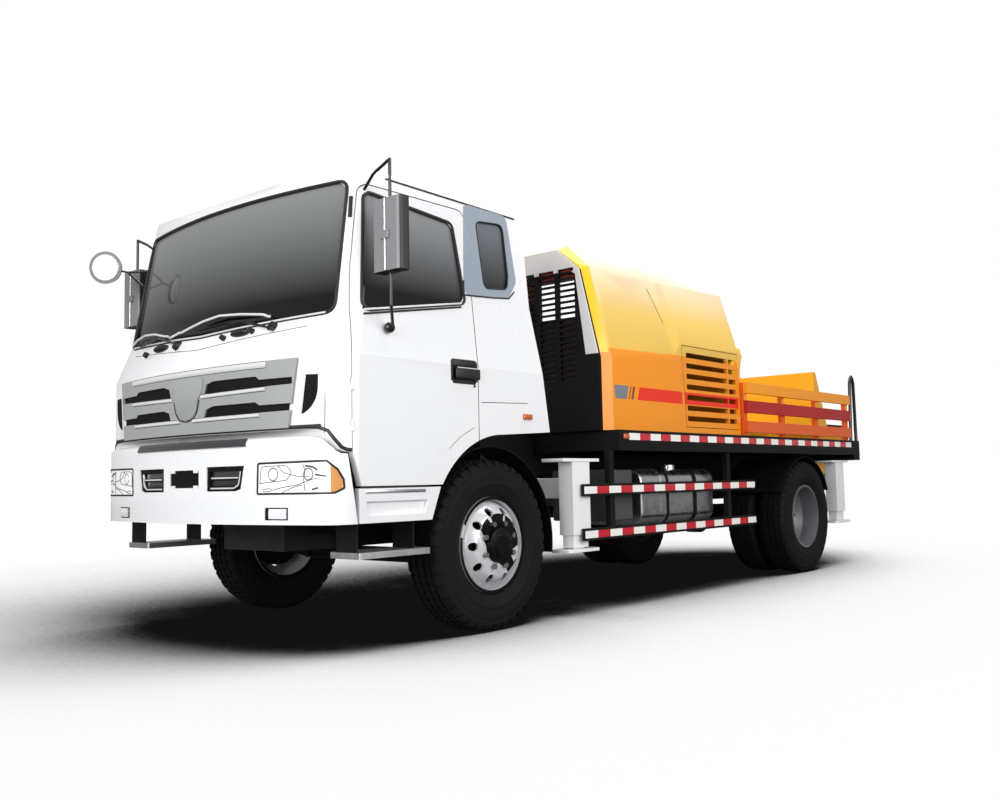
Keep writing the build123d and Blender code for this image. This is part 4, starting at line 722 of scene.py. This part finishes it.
def ring_sheet(shape, outer, inner, lift):
    """A thin panel between two closed paths, lifted off the skin, its rims sunk into it."""
    sunk = -0.002
    rings = [[shape.verts.new(place + normal * h) for place, normal in path]
             for path, h in ((inner, sunk), (inner, lift), (outer, lift), (outer, sunk))]
    count = len(outer)
    for n in range(count):
        for one, two in zip(rings, rings[1:]):
            shape.faces.new((one[n], one[(n + 1) % count], two[(n + 1) % count], two[n]))
    bmesh.ops.recalc_face_normals(shape, faces=shape.faces)


def screen_gasket():
    """Black rubber round the windscreen, with a bright strip along its foot."""
    rubber, bright = bmesh.new(), bmesh.new()
    outline = [(0, 1.814), (1.054, 1.855), (1.017, 2.626), (-1.017, 2.626), (-1.054, 1.855)]
    swept(rubber, laid(CAB_SKIN, loop_of(outline, 0.07), "front", ON_SKIN), *GASKET, closed=True)
    swept(bright, laid(CAB_SKIN, shallow_vee(1.816, 0.0395, 40, 40), "front", 0.006), *SCREEN_STRIP)
    placed("screen_gasket", rubber, "cab", RUBBER)
    placed("screen_foot_strip", bright, "cab", BRIGHT)


LEFT_ARM = ((-0.36, 1.836), (-0.20, 1.869), (0.0, 1.905), (0.16, 1.921), (0.36, 1.906), (0.56, 1.882),
            (0.615, 1.858))
RIGHT_ARM = ((-0.985, 1.872), (-0.90, 1.896), (-0.77, 1.911), (-0.60, 1.897), (-0.45, 1.866), (-0.385, 1.846))
PIVOT_CAPS = ((-0.672, 1.770, 0.021), (-0.26, 1.779, 0.024), (0.239, 1.780, 0.019), (0.481, 1.797, 0.018),
              (0.647, 1.811, 0.025))
NOZZLES = ((-0.47, 1.792), (0.375, 1.799))


def wiper_blades():
    """A bright strip along each wiper's arm, a painted highlight, over a black blade that also stands for the
    shadow below it, with the pivots' caps and the cowl's nozzles.
    """
    bright, black = bmesh.new(), bmesh.new()
    for arm in (LEFT_ARM, RIGHT_ARM):
        curve = loop_of(arm, 0.2, 0.03, closed=False)
        foot = [(x, 1.8365 + 0.04 * abs(x)) for x, z in curve]
        spine = [(x, 0.45 * z + 0.55 * low) for (x, z), (_, low) in zip(curve, foot)]
        # the bright strip is a painted highlight along the arm; the black blade strip also stands for the
        # arm's shadow
        swept(bright, laid(SCREEN_SKIN, curve, "front", 0.036), *WIPER_ARM_HIGHLIGHT)
        swept(black, laid(SCREEN_SKIN, foot, "front", 0.020), *WIPER_BLADE_AND_SHADOW)
        swept(black, laid(SCREEN_SKIN, spine, "front", 0.014), *WIPER_SPINE)
    for x, z, r in PIVOT_CAPS:
        for place, normal in laid(CAB_SKIN, [(x, z)], "front"):
            add_rod(black, place - normal * 0.004, place + normal * 0.026, r, r * 0.8, 20)
    for place, normal in laid(CAB_SKIN, NOZZLES, "front"):
        add_ball(black, place + normal * 0.004, 0.03, (3.0, 0.8, 0.85))
    placed("wiper_arm_highlights", bright, "cab", BRIGHT, 60)
    placed("wiper_blades", black, "cab", RUBBER, 60)


def cab_seams():
    """Dark lines where panels meet, painted shade along the side's crease and the wheel arch's crease, the
    drip rails and the dark strip along the foot of the cab's front.
    """
    foot = 1.229
    corner = [(-1.335, foot), (-1.30, foot), (-1.284, 1.223), (-1.266, 1.204), (-1.246, 1.157),
              (-1.220, 1.114), (-1.198, 1.102), (-1.172, 1.099)]
    arch = loop_of([(-0.425, 1.112), (-0.40, 1.135), (-0.33, 1.186), (-0.20, 1.245)], 0.3, 0.03, closed=False)
    lines = bmesh.new()
    swept(lines, laid(CAB_SKIN, shallow_vee(1.733, 0.062, 18, 20), "front"), *COWL_SEAM)
    for _, side in SIDES:
        swept(lines, laid(CAB_SKIN, row_of((-0.80, 2.675), (0.05, -0.001), 24), side, 0.003), *DRIP_RAIL)
        # dark lines on the side's crease and on the wheel arch's crease: painted shade
        swept(lines, laid(CAB_SKIN, row_of((-0.138, 1.399), (0.045, 0.0015), 11), side), *CREASE_SHADE_LINE)
        swept(lines, laid(CAB_SKIN, arch, side), *ARCH_CREASE_SHADE)
        pillar = [(side * 1.046, 2.525), (side * 1.052, 2.46), (side * 1.058, 2.40)]
        swept(lines, laid(CAB_SKIN, pillar, "front", 0.002), *PILLAR_CLIP)
        # a dark strip along the cab's foot and front corner
        swept(lines, laid(CAB_SKIN, corner, side, ON_SKIN), *CORNER_FOOT_STRIP)
    swept(lines, laid(CAB_SKIN, row_of((-1.06, foot), (0.04, 0), 54), "front", ON_SKIN), *FRONT_FOOT_STRIP)
    placed("cab_seams", lines, "cab", RUBBER)


def door_trim(side_name, side):
    """Gasket, bright sill strip, handle and lock of one door."""
    rubber, bright = bmesh.new(), bmesh.new()
    skin = skin_of(f"door_{side_name}")
    outline = [(-1.078, 1.861), (-0.224, 2.004), (-0.283, 2.502), (-0.990, 2.560)]
    swept(rubber, laid(skin, loop_of(outline, 0.05), side, ON_SKIN), *GASKET, closed=True)
    sill = row_of((-1.068, 1.8655), (0.04, 0.00668), 21)
    swept(bright, laid(skin, sill, side, 0.008), *SILL_STRIP)
    swept(rubber, laid(skin, [(y, z - 0.022) for y, z in sill], side, ON_SKIN), *DOOR_RUBBER)
    out = side * DOOR_FACE
    front, rear = -0.396, -0.181            # ends of the handle's dish
    add_box(rubber, out - side * 0.016, out - side * 0.010, front, rear, 1.511, 1.613)
    rim = [(front - 0.002, 1.509), (rear + 0.002, 1.509), (rear + 0.002, 1.645), (front - 0.002, 1.645)]
    swept(rubber, laid(CAB_SKIN, loop_of(rim, 0.02), side, ON_SKIN), *DOOR_RUBBER, closed=True)
    grip = add_box(rubber, out - side * 0.002, out + side * 0.020, -0.372, -0.160, 1.532, 1.602)
    rounded(rubber, grip, 0.009, 3)
    cover = add_box(rubber, out - side * 0.006, out + side * 0.006, front, rear, 1.606, 1.645)
    rounded(rubber, cover, 0.004)
    upward = Vector((side, 0, 0.4)).normalized()
    line = [(Vector((out + side * 0.019, -0.365 + 0.05 * n, 1.598)), upward) for n in range(5)]
    swept(bright, line, *GRIP_LINE)
    add_rod(rubber, (out - side * 0.002, -0.199, 1.494), (out + side * 0.004, -0.199, 1.494), 0.008)
    placed(f"door_rubber_{side_name}", rubber, f"door_{side_name}", RUBBER)
    placed(f"door_bright_{side_name}", bright, f"door_{side_name}", BRIGHT)


def leaning(points, side, lift=0.0):
    """Points (station, z) on the plane of the cab's side above the waist."""
    normal = Vector((side, 0, SIDE_LEAN)).normalized()
    return [(Vector((side * (WAIST_X - SIDE_LEAN * (z - WAIST_Z)), y, z)) + normal * lift, normal)
            for y, z in points]


def quarter_panels():
    """The grey panel round each rear side window, open at the glass, with its black foot."""
    panel, foot = bmesh.new(), bmesh.new()
    outer = [(-0.232, 2.062), (0.200, 2.095), (0.292, 2.21), (0.252, 2.652), (-0.158, 2.655)]
    inner = [(-0.036, 2.124), (0.190, 2.148), (0.212, 2.24), (0.205, 2.585), (-0.060, 2.56)]
    edge = [(-0.222, 2.150), (-0.232, 2.058), (-0.10, 2.066), (0.05, 2.076), (0.20, 2.090), (0.262, 2.142)]
    for _, side in SIDES:
        loops = [leaning(resampled(loop_of(points, r, 0.03), 60), side)
                 for points, r in ((outer, 0.045), (inner, 0.05))]
        ring_sheet(panel, *loops, 0.003)
        swept(foot, leaning(loop_of(edge, 0.02, 0.03, closed=False), side, 0.002), *PANEL_FOOT)
        swept(foot, leaning(loop_of(inner, 0.05, 0.03), side, ON_SKIN), *PANEL_RUBBER, closed=True)
    placed("quarter_panels", panel, "cab", QUARTER_GREY)
    placed("quarter_feet", foot, "cab", RUBBER)


# the slots' lips, as (from, to, height of the inner end, rise)
SLOT_LIPS = ((0.15, 0.695, 1.439, 0.010), (0.07, 0.650, 1.3035, 0.003))
HALF_SHIELD = [(0.0, 1.306), (0.055, 1.314), (0.103, 1.356), (0.122, 1.425), (0.166, 1.470), (0.176, 1.535),
               (0.150, 1.556)]


def on_grille(x, z):
    """A place at a height in front of the grille, whose face stands upright, and its normal."""
    place, normal = laid(GRILLE_SKIN, [(x, 1.59)], "front")[0]
    return Vector((place.x, place.y, z)), normal


def grille_trim():
    """Bright strip along the grille's head, a bright lip under each slot and the raised blank shield, with
    dark lines of painted shadow under the strip and lips and along the shield's edges.
    """
    bright, dark, shield = bmesh.new(), bmesh.new(), bmesh.new()
    # painted shadow along the shield's edges
    shield_shadow_path = loop_of([(0.132, 1.425), (0.113, 1.352), (0.070, 1.312), (0.004, 1.300)], 0.1, 0.02, False)
    head = [on_grille(x, z) for x, z in shallow_vee(1.5835, 0, 14, 20)]
    swept(dark, head, *HEAD_SHADOW)
    swept(bright, head, *HEAD_STRIP)
    for _, side in SIDES:
        for start, end, low, rise in SLOT_LIPS:
            shares = [n / 12 for n in range(13)]
            lip = [on_grille(side * (start + (end - start) * t), low + rise * t) for t in shares]
            swept(dark, lip, *LIP_SHADOW)
            swept(bright, lip, *SLOT_LIP)
        swept(dark, [on_grille(side * x, z) for x, z in shield_shadow_path], *SHIELD_SHADOW_LINE)
    outline = HALF_SHIELD + [(-x, z) for x, z in reversed(HALF_SHIELD[1:])]
    front = on_grille(0, 1.4)[0].y
    verts = add_plate(shield, outline, 1, front - 0.006, on_grille(0.15, 1.4)[0].y + 0.004)
    rounded(shield, [v for v in verts if v.co.y < front - 0.005], 0.004)
    placed("grille_bright", bright, "cab", BRIGHT)
    placed("grille_painted_shadow_lines", dark, "cab", RUBBER)
    placed("grille_shield", shield, "cab", GRILLE)


def on_bumper(x, z, lift=0.0):
    """A place at a height before or behind the bumper's upright face, and its normal."""
    place, normal = laid(BUMPER_SKIN, [(x, 1.06)], "front")[0]
    return Vector((place.x, place.y, z)) + normal * lift, normal


def bumper_trim():
    """Tread strip on the bumper's head, vent bars with dark backs, plate notches and fog lamps."""
    dark, bright, paint, lens = bmesh.new(), bmesh.new(), bmesh.new(), bmesh.new()
    tread_z = 1.157
    swept(dark, laid(BUMPER_SKIN, row_of((-0.56, tread_z), (0.04, 0), 29), "front", 0.002), *TREAD_STRIP)
    for z in (tread_z - 0.011, tread_z, tread_z + 0.011):
        swept(dark, laid(BUMPER_SKIN, row_of((-0.53, z), (0.04, 0), 27), "front", 0.008), *TREAD_RIB)
    hook = loop_of([(0.255, 0.907), (0.455, 0.907), (0.497, 0.925), (0.512, 1.000)], 0.03, 0.02, closed=False)
    for _, side in SIDES:
        for shape, points, lift, size in (
                (dark, row_of((0.250, 0.956), (0.013, 0), 21), -0.024, VENT_BACK),
                (bright, row_of((0.262, 0.965), (0.0231, 0), 11), -0.010, VENT_BAR),
                (bright, hook, -0.010, VENT_BAR),
                (lens, row_of((0.735, 0.764), (0.031, 0), 5), -0.001, FOG_LENS)):
            swept(shape, [on_bumper(side * x, z, lift) for x, z in points], *size)
        face = on_bumper(0.12, 1)[0].y
        for low, high in ((0.909, 0.926), (0.999, 1.018)):
            add_box(paint, side * 0.098, side * 0.143, face - 0.002, face + 0.012, low, high)
    placed("tread_strip", dark, "chassis", TREAD_BLACK)
    placed("vent_bars", bright, "chassis", BRIGHT)
    placed("plate_notches", paint, "chassis", WHITE)
    placed("fog_lenses", lens, "chassis", FOG_GLASS)


LAMP_OUTLINE = ((0.641, 0.873), (1.146, 0.873), (1.174, 0.897), (1.172, 0.945), (1.156, 0.998),
                (1.115, 1.043), (0.655, 1.039))
FACETS = (((0.668, 0.925), (0.678, 1.022), (0.86, 1.024), (0.90, 0.985), (0.86, 0.945), (0.668, 0.930)),
          ((0.690, 0.898), (0.735, 0.902), (0.76, 0.893), (0.735, 0.884), (0.690, 0.886)),
          ((0.80, 1.024), (0.84, 0.985), (0.93, 0.965), (1.01, 0.962)),
          ((0.76, 0.893), (0.84, 0.908), (0.93, 0.918), (1.04, 0.950), (1.10, 0.945)),
          ((0.97, 1.030), (0.985, 0.99), (0.975, 0.945), (0.985, 0.885)),
          ((0.83, 0.880), (0.90, 0.905), (0.965, 0.918)))
LAMP_MARKS = (((0.985, 1.020), (1.035, 1.012), (1.065, 0.995)), ((1.03, 0.893), (1.07, 0.902)),
              ((1.05, 0.972), (1.11, 0.962)))
REFLECTORS = ((0.765, 0.978, 0.034), (1.005, 0.975, 0.030))      # x, z and radius
RING_STEPS = 28


def headlamp_detail(side_name, side):
    """Black surround, reflector rims and facet lines on one headlamp's clear lens."""
    dark, chrome = bmesh.new(), bmesh.new()

    def on_lamp(points, lift):
        return laid(LAMP_SKIN, [(side * x, z) for x, z in points], "front", lift)

    swept(dark, on_lamp(loop_of(LAMP_OUTLINE, 0.014, 0.03), ON_SKIN), *LAMP_EDGE, closed=True)
    for lines, step, size in ((FACETS, 0.03, FACET_LINE), (LAMP_MARKS, 0.02, LAMP_MARK)):
        for points in lines:
            swept(dark, on_lamp(loop_of(points, 0.03, step, closed=False), 0.0006), *size)
    for x, z, r in REFLECTORS:
        turns = [math.tau * n / RING_STEPS for n in range(RING_STEPS)]
        ring = [(x + r * math.cos(turn), z + r * math.sin(turn)) for turn in turns]
        swept(chrome, on_lamp(ring, 0.0004), *LAMP_RING, closed=True)
    placed(f"lamp_lines_{side_name}", dark, "chassis", RUBBER)
    placed(f"lamp_rings_{side_name}", chrome, "chassis", CHROME)


def side_markers():
    """Marker lamps on the cab's rear corners, and bright strips with dark gaps on the step panels."""
    marker, sill, gap = bmesh.new(), bmesh.new(), bmesh.new()
    rounded(marker, add_box(marker, 1.188, 1.206, 0.262, 0.346, 1.308, 1.344), 0.006)
    rounded(sill, add_box(sill, 1.186, 1.194, -1.086, -0.630, 0.864, 0.884), 0.003)
    add_box(gap, 1.180, 1.1902, -1.115, -0.600, 0.8935, 0.903)
    for shape in (marker, sill, gap):
        both_sides(shape)
    placed("marker_lamps", marker, "cab", AMBER)
    placed("sill_strips", sill, "chassis", ALUMINIUM)
    placed("sill_gaps", gap, "chassis", RUBBER)


screen_gasket()
wiper_blades()
cab_seams()
quarter_panels()
grille_trim()
bumper_trim()
for side_name, side in SIDES:
    door_trim(side_name, side)
    headlamp_detail(side_name, side)
side_markers()

# ---- chassis, deck and pump ------------------------------------------------------------------
BOARD_FACE = 1.1899                         # the side boards' outer faces lie beyond this
BOARD_LOW, BOARD_HIGH = 1.46, 1.59          # edges of the red middle board
BOARD_INNER = 1.5                           # where the tone changes on the inner faces
STRIPE_LOW, STRIPE_HIGH = 1.505, 1.603
CREASE_Z = 1.84                             # the hood's crease
EDGE_BAND = 0.055                           # width of the bright band along the hood's front edge
HOOD_SKIN = skin_of("hood")


def board_rule(centre, normal):
    """1 for the dark red middle board, 2 for the deeper orange below it, 0 above it."""
    if abs(centre.x) < BOARD_FACE:
        return 2 if centre.z < BOARD_INNER else 0
    return 1 if BOARD_LOW < centre.z < BOARD_HIGH else (2 if centre.z < BOARD_LOW else 0)


def front_edge(z):
    """The station where the hood's side begins at a height."""
    return next(n / 200 for n in range(160, 400) if laid(HOOD_SKIN, [(n / 200, z)], 1))


EDGE_LOW, EDGE_HIGH = (Vector((0, front_edge(z) + EDGE_BAND, z)) for z in (1.95, 2.35))
EDGE_WAY = Vector((0, EDGE_HIGH.z - EDGE_LOW.z, EDGE_LOW.y - EDGE_HIGH.y)).normalized()


def hood_rule(centre, normal):
    """1 for the bright band along the front edge above the crease, 0 for the two tone paint and its painted
    highlight.
    """
    return 1 if centre.z > CREASE_Z and (centre - EDGE_LOW).dot(EDGE_WAY) < 0 else 0


def level_cut(z):
    """A level plane to cut faces along."""
    return (0, 0, z), (0, 0, 1)


for node in ("frame_rails", "front_axle", "rear_axle", "knuckle_left", "knuckle_right"):
    coated(node, CHASSIS)
coated("engine", CAST)
coated("mudguards", PLASTIC)
coated("silencer", CAST)
dressed("fuel_tank", ALUMINIUM)
dressed("battery_box", BOX_GREY, 0.004)
dressed("side_guards", CHASSIS)
dressed("deck", DECK)
dressed("side_boards", [ORANGE, RED_BOARD, ORANGE_LOW], 0.004, board_rule)
dressed("tail_hoops", TRIM_BLACK, 0.002)
dressed("tail_lamps", LAMP_RED)
dressed("jack_boxes", SILVER)
dressed("hood", [HOOD_PAINT_AND_HIGHLIGHT, EDGE_YELLOW], 0.004, hood_rule, cuts=((EDGE_LOW, EDGE_WAY), level_cut(CREASE_Z)))
coated("hood_front", PLASTIC)
dressed("hood_fascia", FASCIA)
coated("power_unit", CAST)
dressed("pump_unit", YELLOW, 0.004)
dressed("hopper", YELLOW)
coated("agitator", CHASSIS)
coated("hopper_grate", CHASSIS)
for side_name, side in SIDES:
    # the lids' paint carries the same painted highlight towards the top
    dressed(f"hood_lid_{side_name}", [HOOD_PAINT_AND_HIGHLIGHT, STRIPE_RED],
            chooser=lambda centre, normal: int(STRIPE_LOW < centre.z < STRIPE_HIGH),
            cuts=(level_cut(STRIPE_LOW), level_cut(STRIPE_HIGH)))
    for end in ("front", "rear"):
        dressed(f"jack_{end}_{side_name}", SILVER)


# ---- hood and pump trim ----------------------------------------------------------------------
def vent_backs():
    """Dark plates behind the bumper's vents."""
    shape = bmesh.new()
    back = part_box("bumper_vents")[1].y - AXLE - 0.004
    for _, side in SIDES:
        add_box(shape, side * 0.245, side * 0.505, back, back + 0.003, 0.896, 1.016)
    placed("vent_backs", shape, "chassis", PLASTIC)


def mirror_rods():
    """Bright rod and clamp band on the front of each door mirror's housing."""
    for side_name, side in SIDES:
        shape, band = bmesh.new(), bmesh.new()
        x = side * MIRROR_X
        add_rod(shape, (x, -1.049, 2.064), (x, -1.049, 2.460), 0.006, sides=12)
        rounded(band, add_box(band, x - 0.035, x + 0.035, -1.056, -1.042, 2.235, 2.285), 0.006)
        placed(f"mirror_rod_{side_name}", shape, f"door_{side_name}", ALUMINIUM)
        placed(f"mirror_band_{side_name}", band, f"door_{side_name}", MIRROR_GREY)


PAD_EDGE = 0.045                            # radius of a pad's edges
PAD_CROWN = 0.22                            # share of a pad's thickness that is crown
PAD_CHANNELS = (-0.45, 0.0, 0.45)           # places of the sewn channels across a pad's half width
CHANNEL_HALF = 0.035
CHANNEL_DEPTH = 0.10
DRAWN_IN = 0.03                             # how far the sides pull in between the corners
UNDERCUT = 0.035                            # how far they pull in towards the middle of the thickness


def pad_shape(shape, size, turn):
    """A stuffed pad: rounded edges, crowned faces, drawn-in sides and sewn channels across it."""
    one = bmesh.new()
    bmesh.ops.create_cube(one, size=2)
    bmesh.ops.subdivide_edges(one, edges=one.edges[:], cuts=26, use_grid_fill=True)
    half = Vector(size) / 2
    for vert in one.verts:
        u, v, w = vert.co
        place = Vector((u * half.x, v * half.y, w * half.z))
        core = Vector([max(-h + PAD_EDGE, min(h - PAD_EDGE, p)) for p, h in zip(place, half)])
        if (place - core).length > 0.0001:
            place = core + (place - core).normalized() * min(PAD_EDGE, (place - core).length)
        pull = 1 - UNDERCUT * (1 - abs(w))
        place.x *= pull - DRAWN_IN * (1 - v * v)
        place.y *= pull - DRAWN_IN * (1 - u * u)
        swell = (1 - u * u) * (1 - v * v)
        sewn = sum(math.exp(-((u - c) / CHANNEL_HALF) ** 2) for c in PAD_CHANNELS)
        place.z *= 1 - PAD_CROWN + PAD_CROWN * swell ** 0.5 - CHANNEL_DEPTH * sewn * (1 - v ** 4)
        vert.co = turn @ place
    merged(shape, one)


def seat_pads():
    """Stuffed cushions and backs of both seats, on plain pedestals."""
    pads, bases = bmesh.new(), bmesh.new()
    floor_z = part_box("seats")[0].z
    for _, side in SIDES:
        x = side * 0.56
        pad_shape(pads, (0.515, 0.495, 0.118), Matrix.Translation((x, -0.31, 1.540)))
        lean = Matrix.Translation((x, -0.020, 1.600)) @ Matrix.Rotation(math.radians(-12), 4, "X")
        upright = Matrix.Translation((0, 0, 0.32)) @ Matrix.Rotation(math.radians(90), 4, "X")
        pad_shape(pads, (0.495, 0.615, 0.118), lean @ upright)
        rounded(bases, add_box(bases, x - 0.2, x + 0.2, -0.5, -0.12, floor_z + 0.001, 1.484), 0.012)
    pads_piece = placed("seat_pads", pads, "cab", CLOTH, 60, replaces=("seats",))
    placed("seat_bases", bases, "cab", LINING)


def band_part(top_front, top_rear, slant_front, slant_rear):
    """A piece of the hood's stripe, by the stations of its upper ends and the slants of its ends."""
    return ((top_front, STRIPE_HIGH), (top_rear, STRIPE_HIGH), (top_rear + slant_rear, STRIPE_LOW),
            (top_front + slant_front, STRIPE_LOW))


ARM_OUTLINE = ((3.204, 1.895), (3.262, 1.957), (3.331, 2.052), (3.375, 2.045), (3.413, 1.978), (3.385, 1.90),
               (3.348, 1.766), (3.30, 1.70))


def hood_stripe():
    """Grey block, two slashes and the red band on both sides of the hood, and the lids' rear arms."""
    grey, red, brown, arm, seam = (bmesh.new() for _ in range(5))
    face = laid(HOOD_SKIN, [(2.0, 1.55)], 1)[0][0].x
    for shape, outline in ((grey, band_part(1.364, 1.55, 0.008, -0.030)),
                           (brown, band_part(1.578, 1.590, -0.030, -0.030)),
                           (brown, band_part(1.612, 1.640, -0.030, -0.030)),
                           (red, band_part(1.702, 2.330, -0.033, 0))):
        add_plate(shape, outline, 0, face - 0.0005, face + 0.0012)
    rounded(arm, add_plate(arm, ARM_OUTLINE, 0, 1.075, 1.150), 0.008)
    swept(seam, laid(HOOD_SKIN, row_of((2.191, 2.152), (-0.0121, 0.0276), 11), 1), *HOOD_SEAM)
    for shape in (grey, red, brown, arm, seam):
        both_sides(shape)
    placed("stripe_grey", grey, "chassis", STRIPE_GREY)
    placed("stripe_red", red, "chassis", STRIPE_RED)
    placed("stripe_slashes", brown, "chassis", STRIPE_BROWN)
    placed("hood_arms", arm, "chassis", EDGE_YELLOW)
    placed("hood_seams", seam, "chassis", RUBBER)


def slot_backs():
    """What shows through the hood front's slots: a red core, a glowing sheet under it that paints daylight,
    and a dark core below.
    """
    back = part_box("hood_front")[1].y - AXLE + 0.012
    for name, low, high, mat in (("slot_red", 2.405, 2.52, SLOT_RED), ("slot_painted_daylight", 2.115, 2.40, SLOT_WHITE),
                                 ("slot_core", 1.64, 2.11, SLOT_BROWN)):
        shape = bmesh.new()
        for _, side in SIDES:
            add_box(shape, side * 0.575, side * 0.925, back, back + 0.004, low, high)
        placed(name, shape, "chassis", mat)


def tank_straps():
    """Two dark straps round the fuel tank."""
    strap = bmesh.new()
    skin = skin_of("fuel_tank")
    low, high = (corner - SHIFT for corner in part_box("fuel_tank"))
    steps, away = 72, 1.2
    for share in (0.34, 0.72):
        middle = Vector(((low.x + high.x) / 2, low.y + share * (high.y - low.y), low.z + 0.36))
        path = []
        for n in range(steps):
            turn = math.tau * n / steps
            way = Vector((math.cos(turn), 0, math.sin(turn)))
            start = middle + way * away
            place, normal, _, _ = skin.ray_cast(start, -way)
            if place is not None and (place - start).length < away - 0.01:
                path.append((place, normal if normal.dot(way) > 0 else -normal))
        swept(strap, path, *TANK_STRAP, closed=True)
    placed("tank_straps", strap, "chassis", CHASSIS)


def deck_lamps():
    """Amber marker at the front end of each reflective run."""
    lamp = bmesh.new()
    rounded(lamp, add_box(lamp, 1.17, DECK_FACE + 0.012, 1.355, 1.425, 1.203, 1.243), 0.008)
    both_sides(lamp)
    placed("deck_lamps", lamp, "chassis", AMBER)


# ---- tape ------------------------------------------------------------------------------------
TAPE_HALF, TAPE_THICK, TAPE_BLOCK = 0.025, 0.0012, 0.15
GUARD_TAPES = 0.844, 0.541                  # heights of the tape on the side guards' rails
DECK_TAPE = 1.223
DECK_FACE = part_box("deck")[1].x


def tape_run(red, white, x, start, end, height):
    """Red and white blocks in turn along a rail's outer face, white at both ends."""
    count = max(1, round((end - start) / TAPE_BLOCK))
    count += 1 - count % 2
    length = (end - start) / count
    for n in range(count):
        add_box(white if n % 2 == 0 else red, x, x + TAPE_THICK, start + n * length, start + (n + 1) * length,
                height - TAPE_HALF, height + TAPE_HALF)


def tapes():
    """Reflective tape along the side guards and the deck's edge."""
    red, white = bmesh.new(), bmesh.new()
    low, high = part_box("side_guards")
    for height in GUARD_TAPES:
        tape_run(red, white, high.x, low.y - AXLE, high.y - AXLE, height)
    tape_run(red, white, DECK_FACE, 1.43, 5.65, DECK_TAPE)
    both_sides(red)
    both_sides(white)
    placed("red_tape", red, "chassis", TAPE_RED)
    placed("white_tape", white, "chassis", TAPE_WHITE)


vent_backs()
mirror_rods()
seat_pads()
hood_stripe()
slot_backs()
tank_straps()
deck_lamps()
tapes()


# ---- studio ----------------------------------------------------------------------------------
PAINTED_SHADOW_LEAN = 0.45, 0.03, 0.89                # the painted shadow pool under the truck reaches out against this direction
PAINTED_SHADOW_REACH = 6.5                            # how far away the truck still darkens the floor with the painted shadow
PAINTED_SHADOW_DARK, PAINTED_SHADOW_CLEAR = 0.56, 0.975         # the open share of the sky where the floor's painted shadow is darkest, and where the floor is white
FLOOR_BOUNCE = 0.14, 0.14, 0.14, 1          # the floor's colour for all but the camera


def floor_finish():
    """Floor that shows as white with a soft dark pool of painted shadow under the truck, and sends little
    light back.
    """
    mat = bpy.data.materials.new("pale floor with painted shadow")
    mat.use_nodes = True
    tree = mat.node_tree
    tree.nodes.remove(tree.nodes["Principled BSDF"])
    out = tree.nodes["Material Output"]
    path = tree.nodes.new("ShaderNodeLightPath")
    plain = tree.nodes.new("ShaderNodeBsdfDiffuse")
    plain.inputs["Color"].default_value = FLOOR_BOUNCE
    lean = tree.nodes.new("ShaderNodeCombineXYZ")
    for socket, value in zip(lean.inputs, PAINTED_SHADOW_LEAN):
        socket.default_value = value
    cover = tree.nodes.new("ShaderNodeAmbientOcclusion")
    cover.samples = 16
    cover.inputs["Distance"].default_value = PAINTED_SHADOW_REACH
    link(tree, lean, 0, cover, "Normal")
    # the floor's camera colour follows this ambient occlusion share: a painted shadow, not one cast by the
    # lamps
    open_share = spread(tree, cover, "AO", PAINTED_SHADOW_DARK, PAINTED_SHADOW_CLEAR, 0.006, 1.0)
    open_share.interpolation_type = "SMOOTHSTEP"
    shown = tree.nodes.new("ShaderNodeEmission")
    shown.inputs["Color"].default_value = (1, 1, 1, 1)
    link(tree, open_share, "Result", shown, "Strength")
    pick = tree.nodes.new("ShaderNodeMixShader")
    link(tree, path, "Is Camera Ray", pick, 0)
    link(tree, plain, 0, pick, 1)
    link(tree, shown, 0, pick, 2)
    link(tree, pick, 0, out, "Surface")
    return mat


def soft_lamp(name, at, aim, width, height, power):
    """A rectangular area lamp that looks from one place to another."""
    data = bpy.data.lights.new(name, "AREA")
    data.shape = "RECTANGLE"
    data.size = width
    data.size_y = height
    data.energy = power
    lamp = in_scene(name, data)
    lamp.location = at
    lamp.rotation_euler = (Vector(aim) - Vector(at)).to_track_quat("-Z", "Y").to_euler()


def bright_world():
    """White behind everything, and a dimmer plain light on the truck."""
    world = bpy.data.worlds.new("studio")
    bpy.context.scene.world = world
    world.use_nodes = True
    sky = world.node_tree
    back = sky.nodes["Background"]
    back.inputs["Color"].default_value = (1, 1, 1, 1)
    path = sky.nodes.new("ShaderNodeLightPath")
    level = spread(sky, path, "Is Camera Ray", 0.0, 1.0, 0.42, 1.0)
    link(sky, level, "Result", back, "Strength")


floor = bmesh.new()
bmesh.ops.create_grid(floor, x_segments=1, y_segments=1, size=60)
floor_mesh = mesh_of("floor", floor)
floor_mesh.materials.append(floor_finish())
in_scene("floor", floor_mesh)
soft_lamp("overhead", (-1.5, 1.0, 8.0), (0, 0, 0), 7.0, 11.0, 1150)
soft_lamp("left_fill", (9.0, -2.0, 3.5), (0, 0, 1.2), 9.0, 5.0, 520)
soft_lamp("front_fill", (1.5, -11.0, 3.0), (0, -3, 1.2), 6.0, 5.0, 560)
bright_world()

# ---- camera ----------------------------------------------------------------------------------
camera_data = bpy.data.cameras.new("camera")
camera_data.lens = 35.87
camera_data.sensor_width = 36.0
camera_data.clip_end = 400
camera = in_scene("camera", camera_data)
yaw, pitch, roll = math.radians(40.435), math.radians(4.639), math.radians(-1.126)
camera.location = (5.216, -4.686 + AXLE, 0.919)
camera.rotation_euler = (Matrix.Rotation(yaw, 3, "Z") @ Matrix.Rotation(math.pi / 2 + pitch, 3, "X")
                         @ Matrix.Rotation(roll, 3, "Z")).to_euler()
bpy.context.scene.camera = camera
bpy.context.scene.view_settings.view_transform = "Standard"
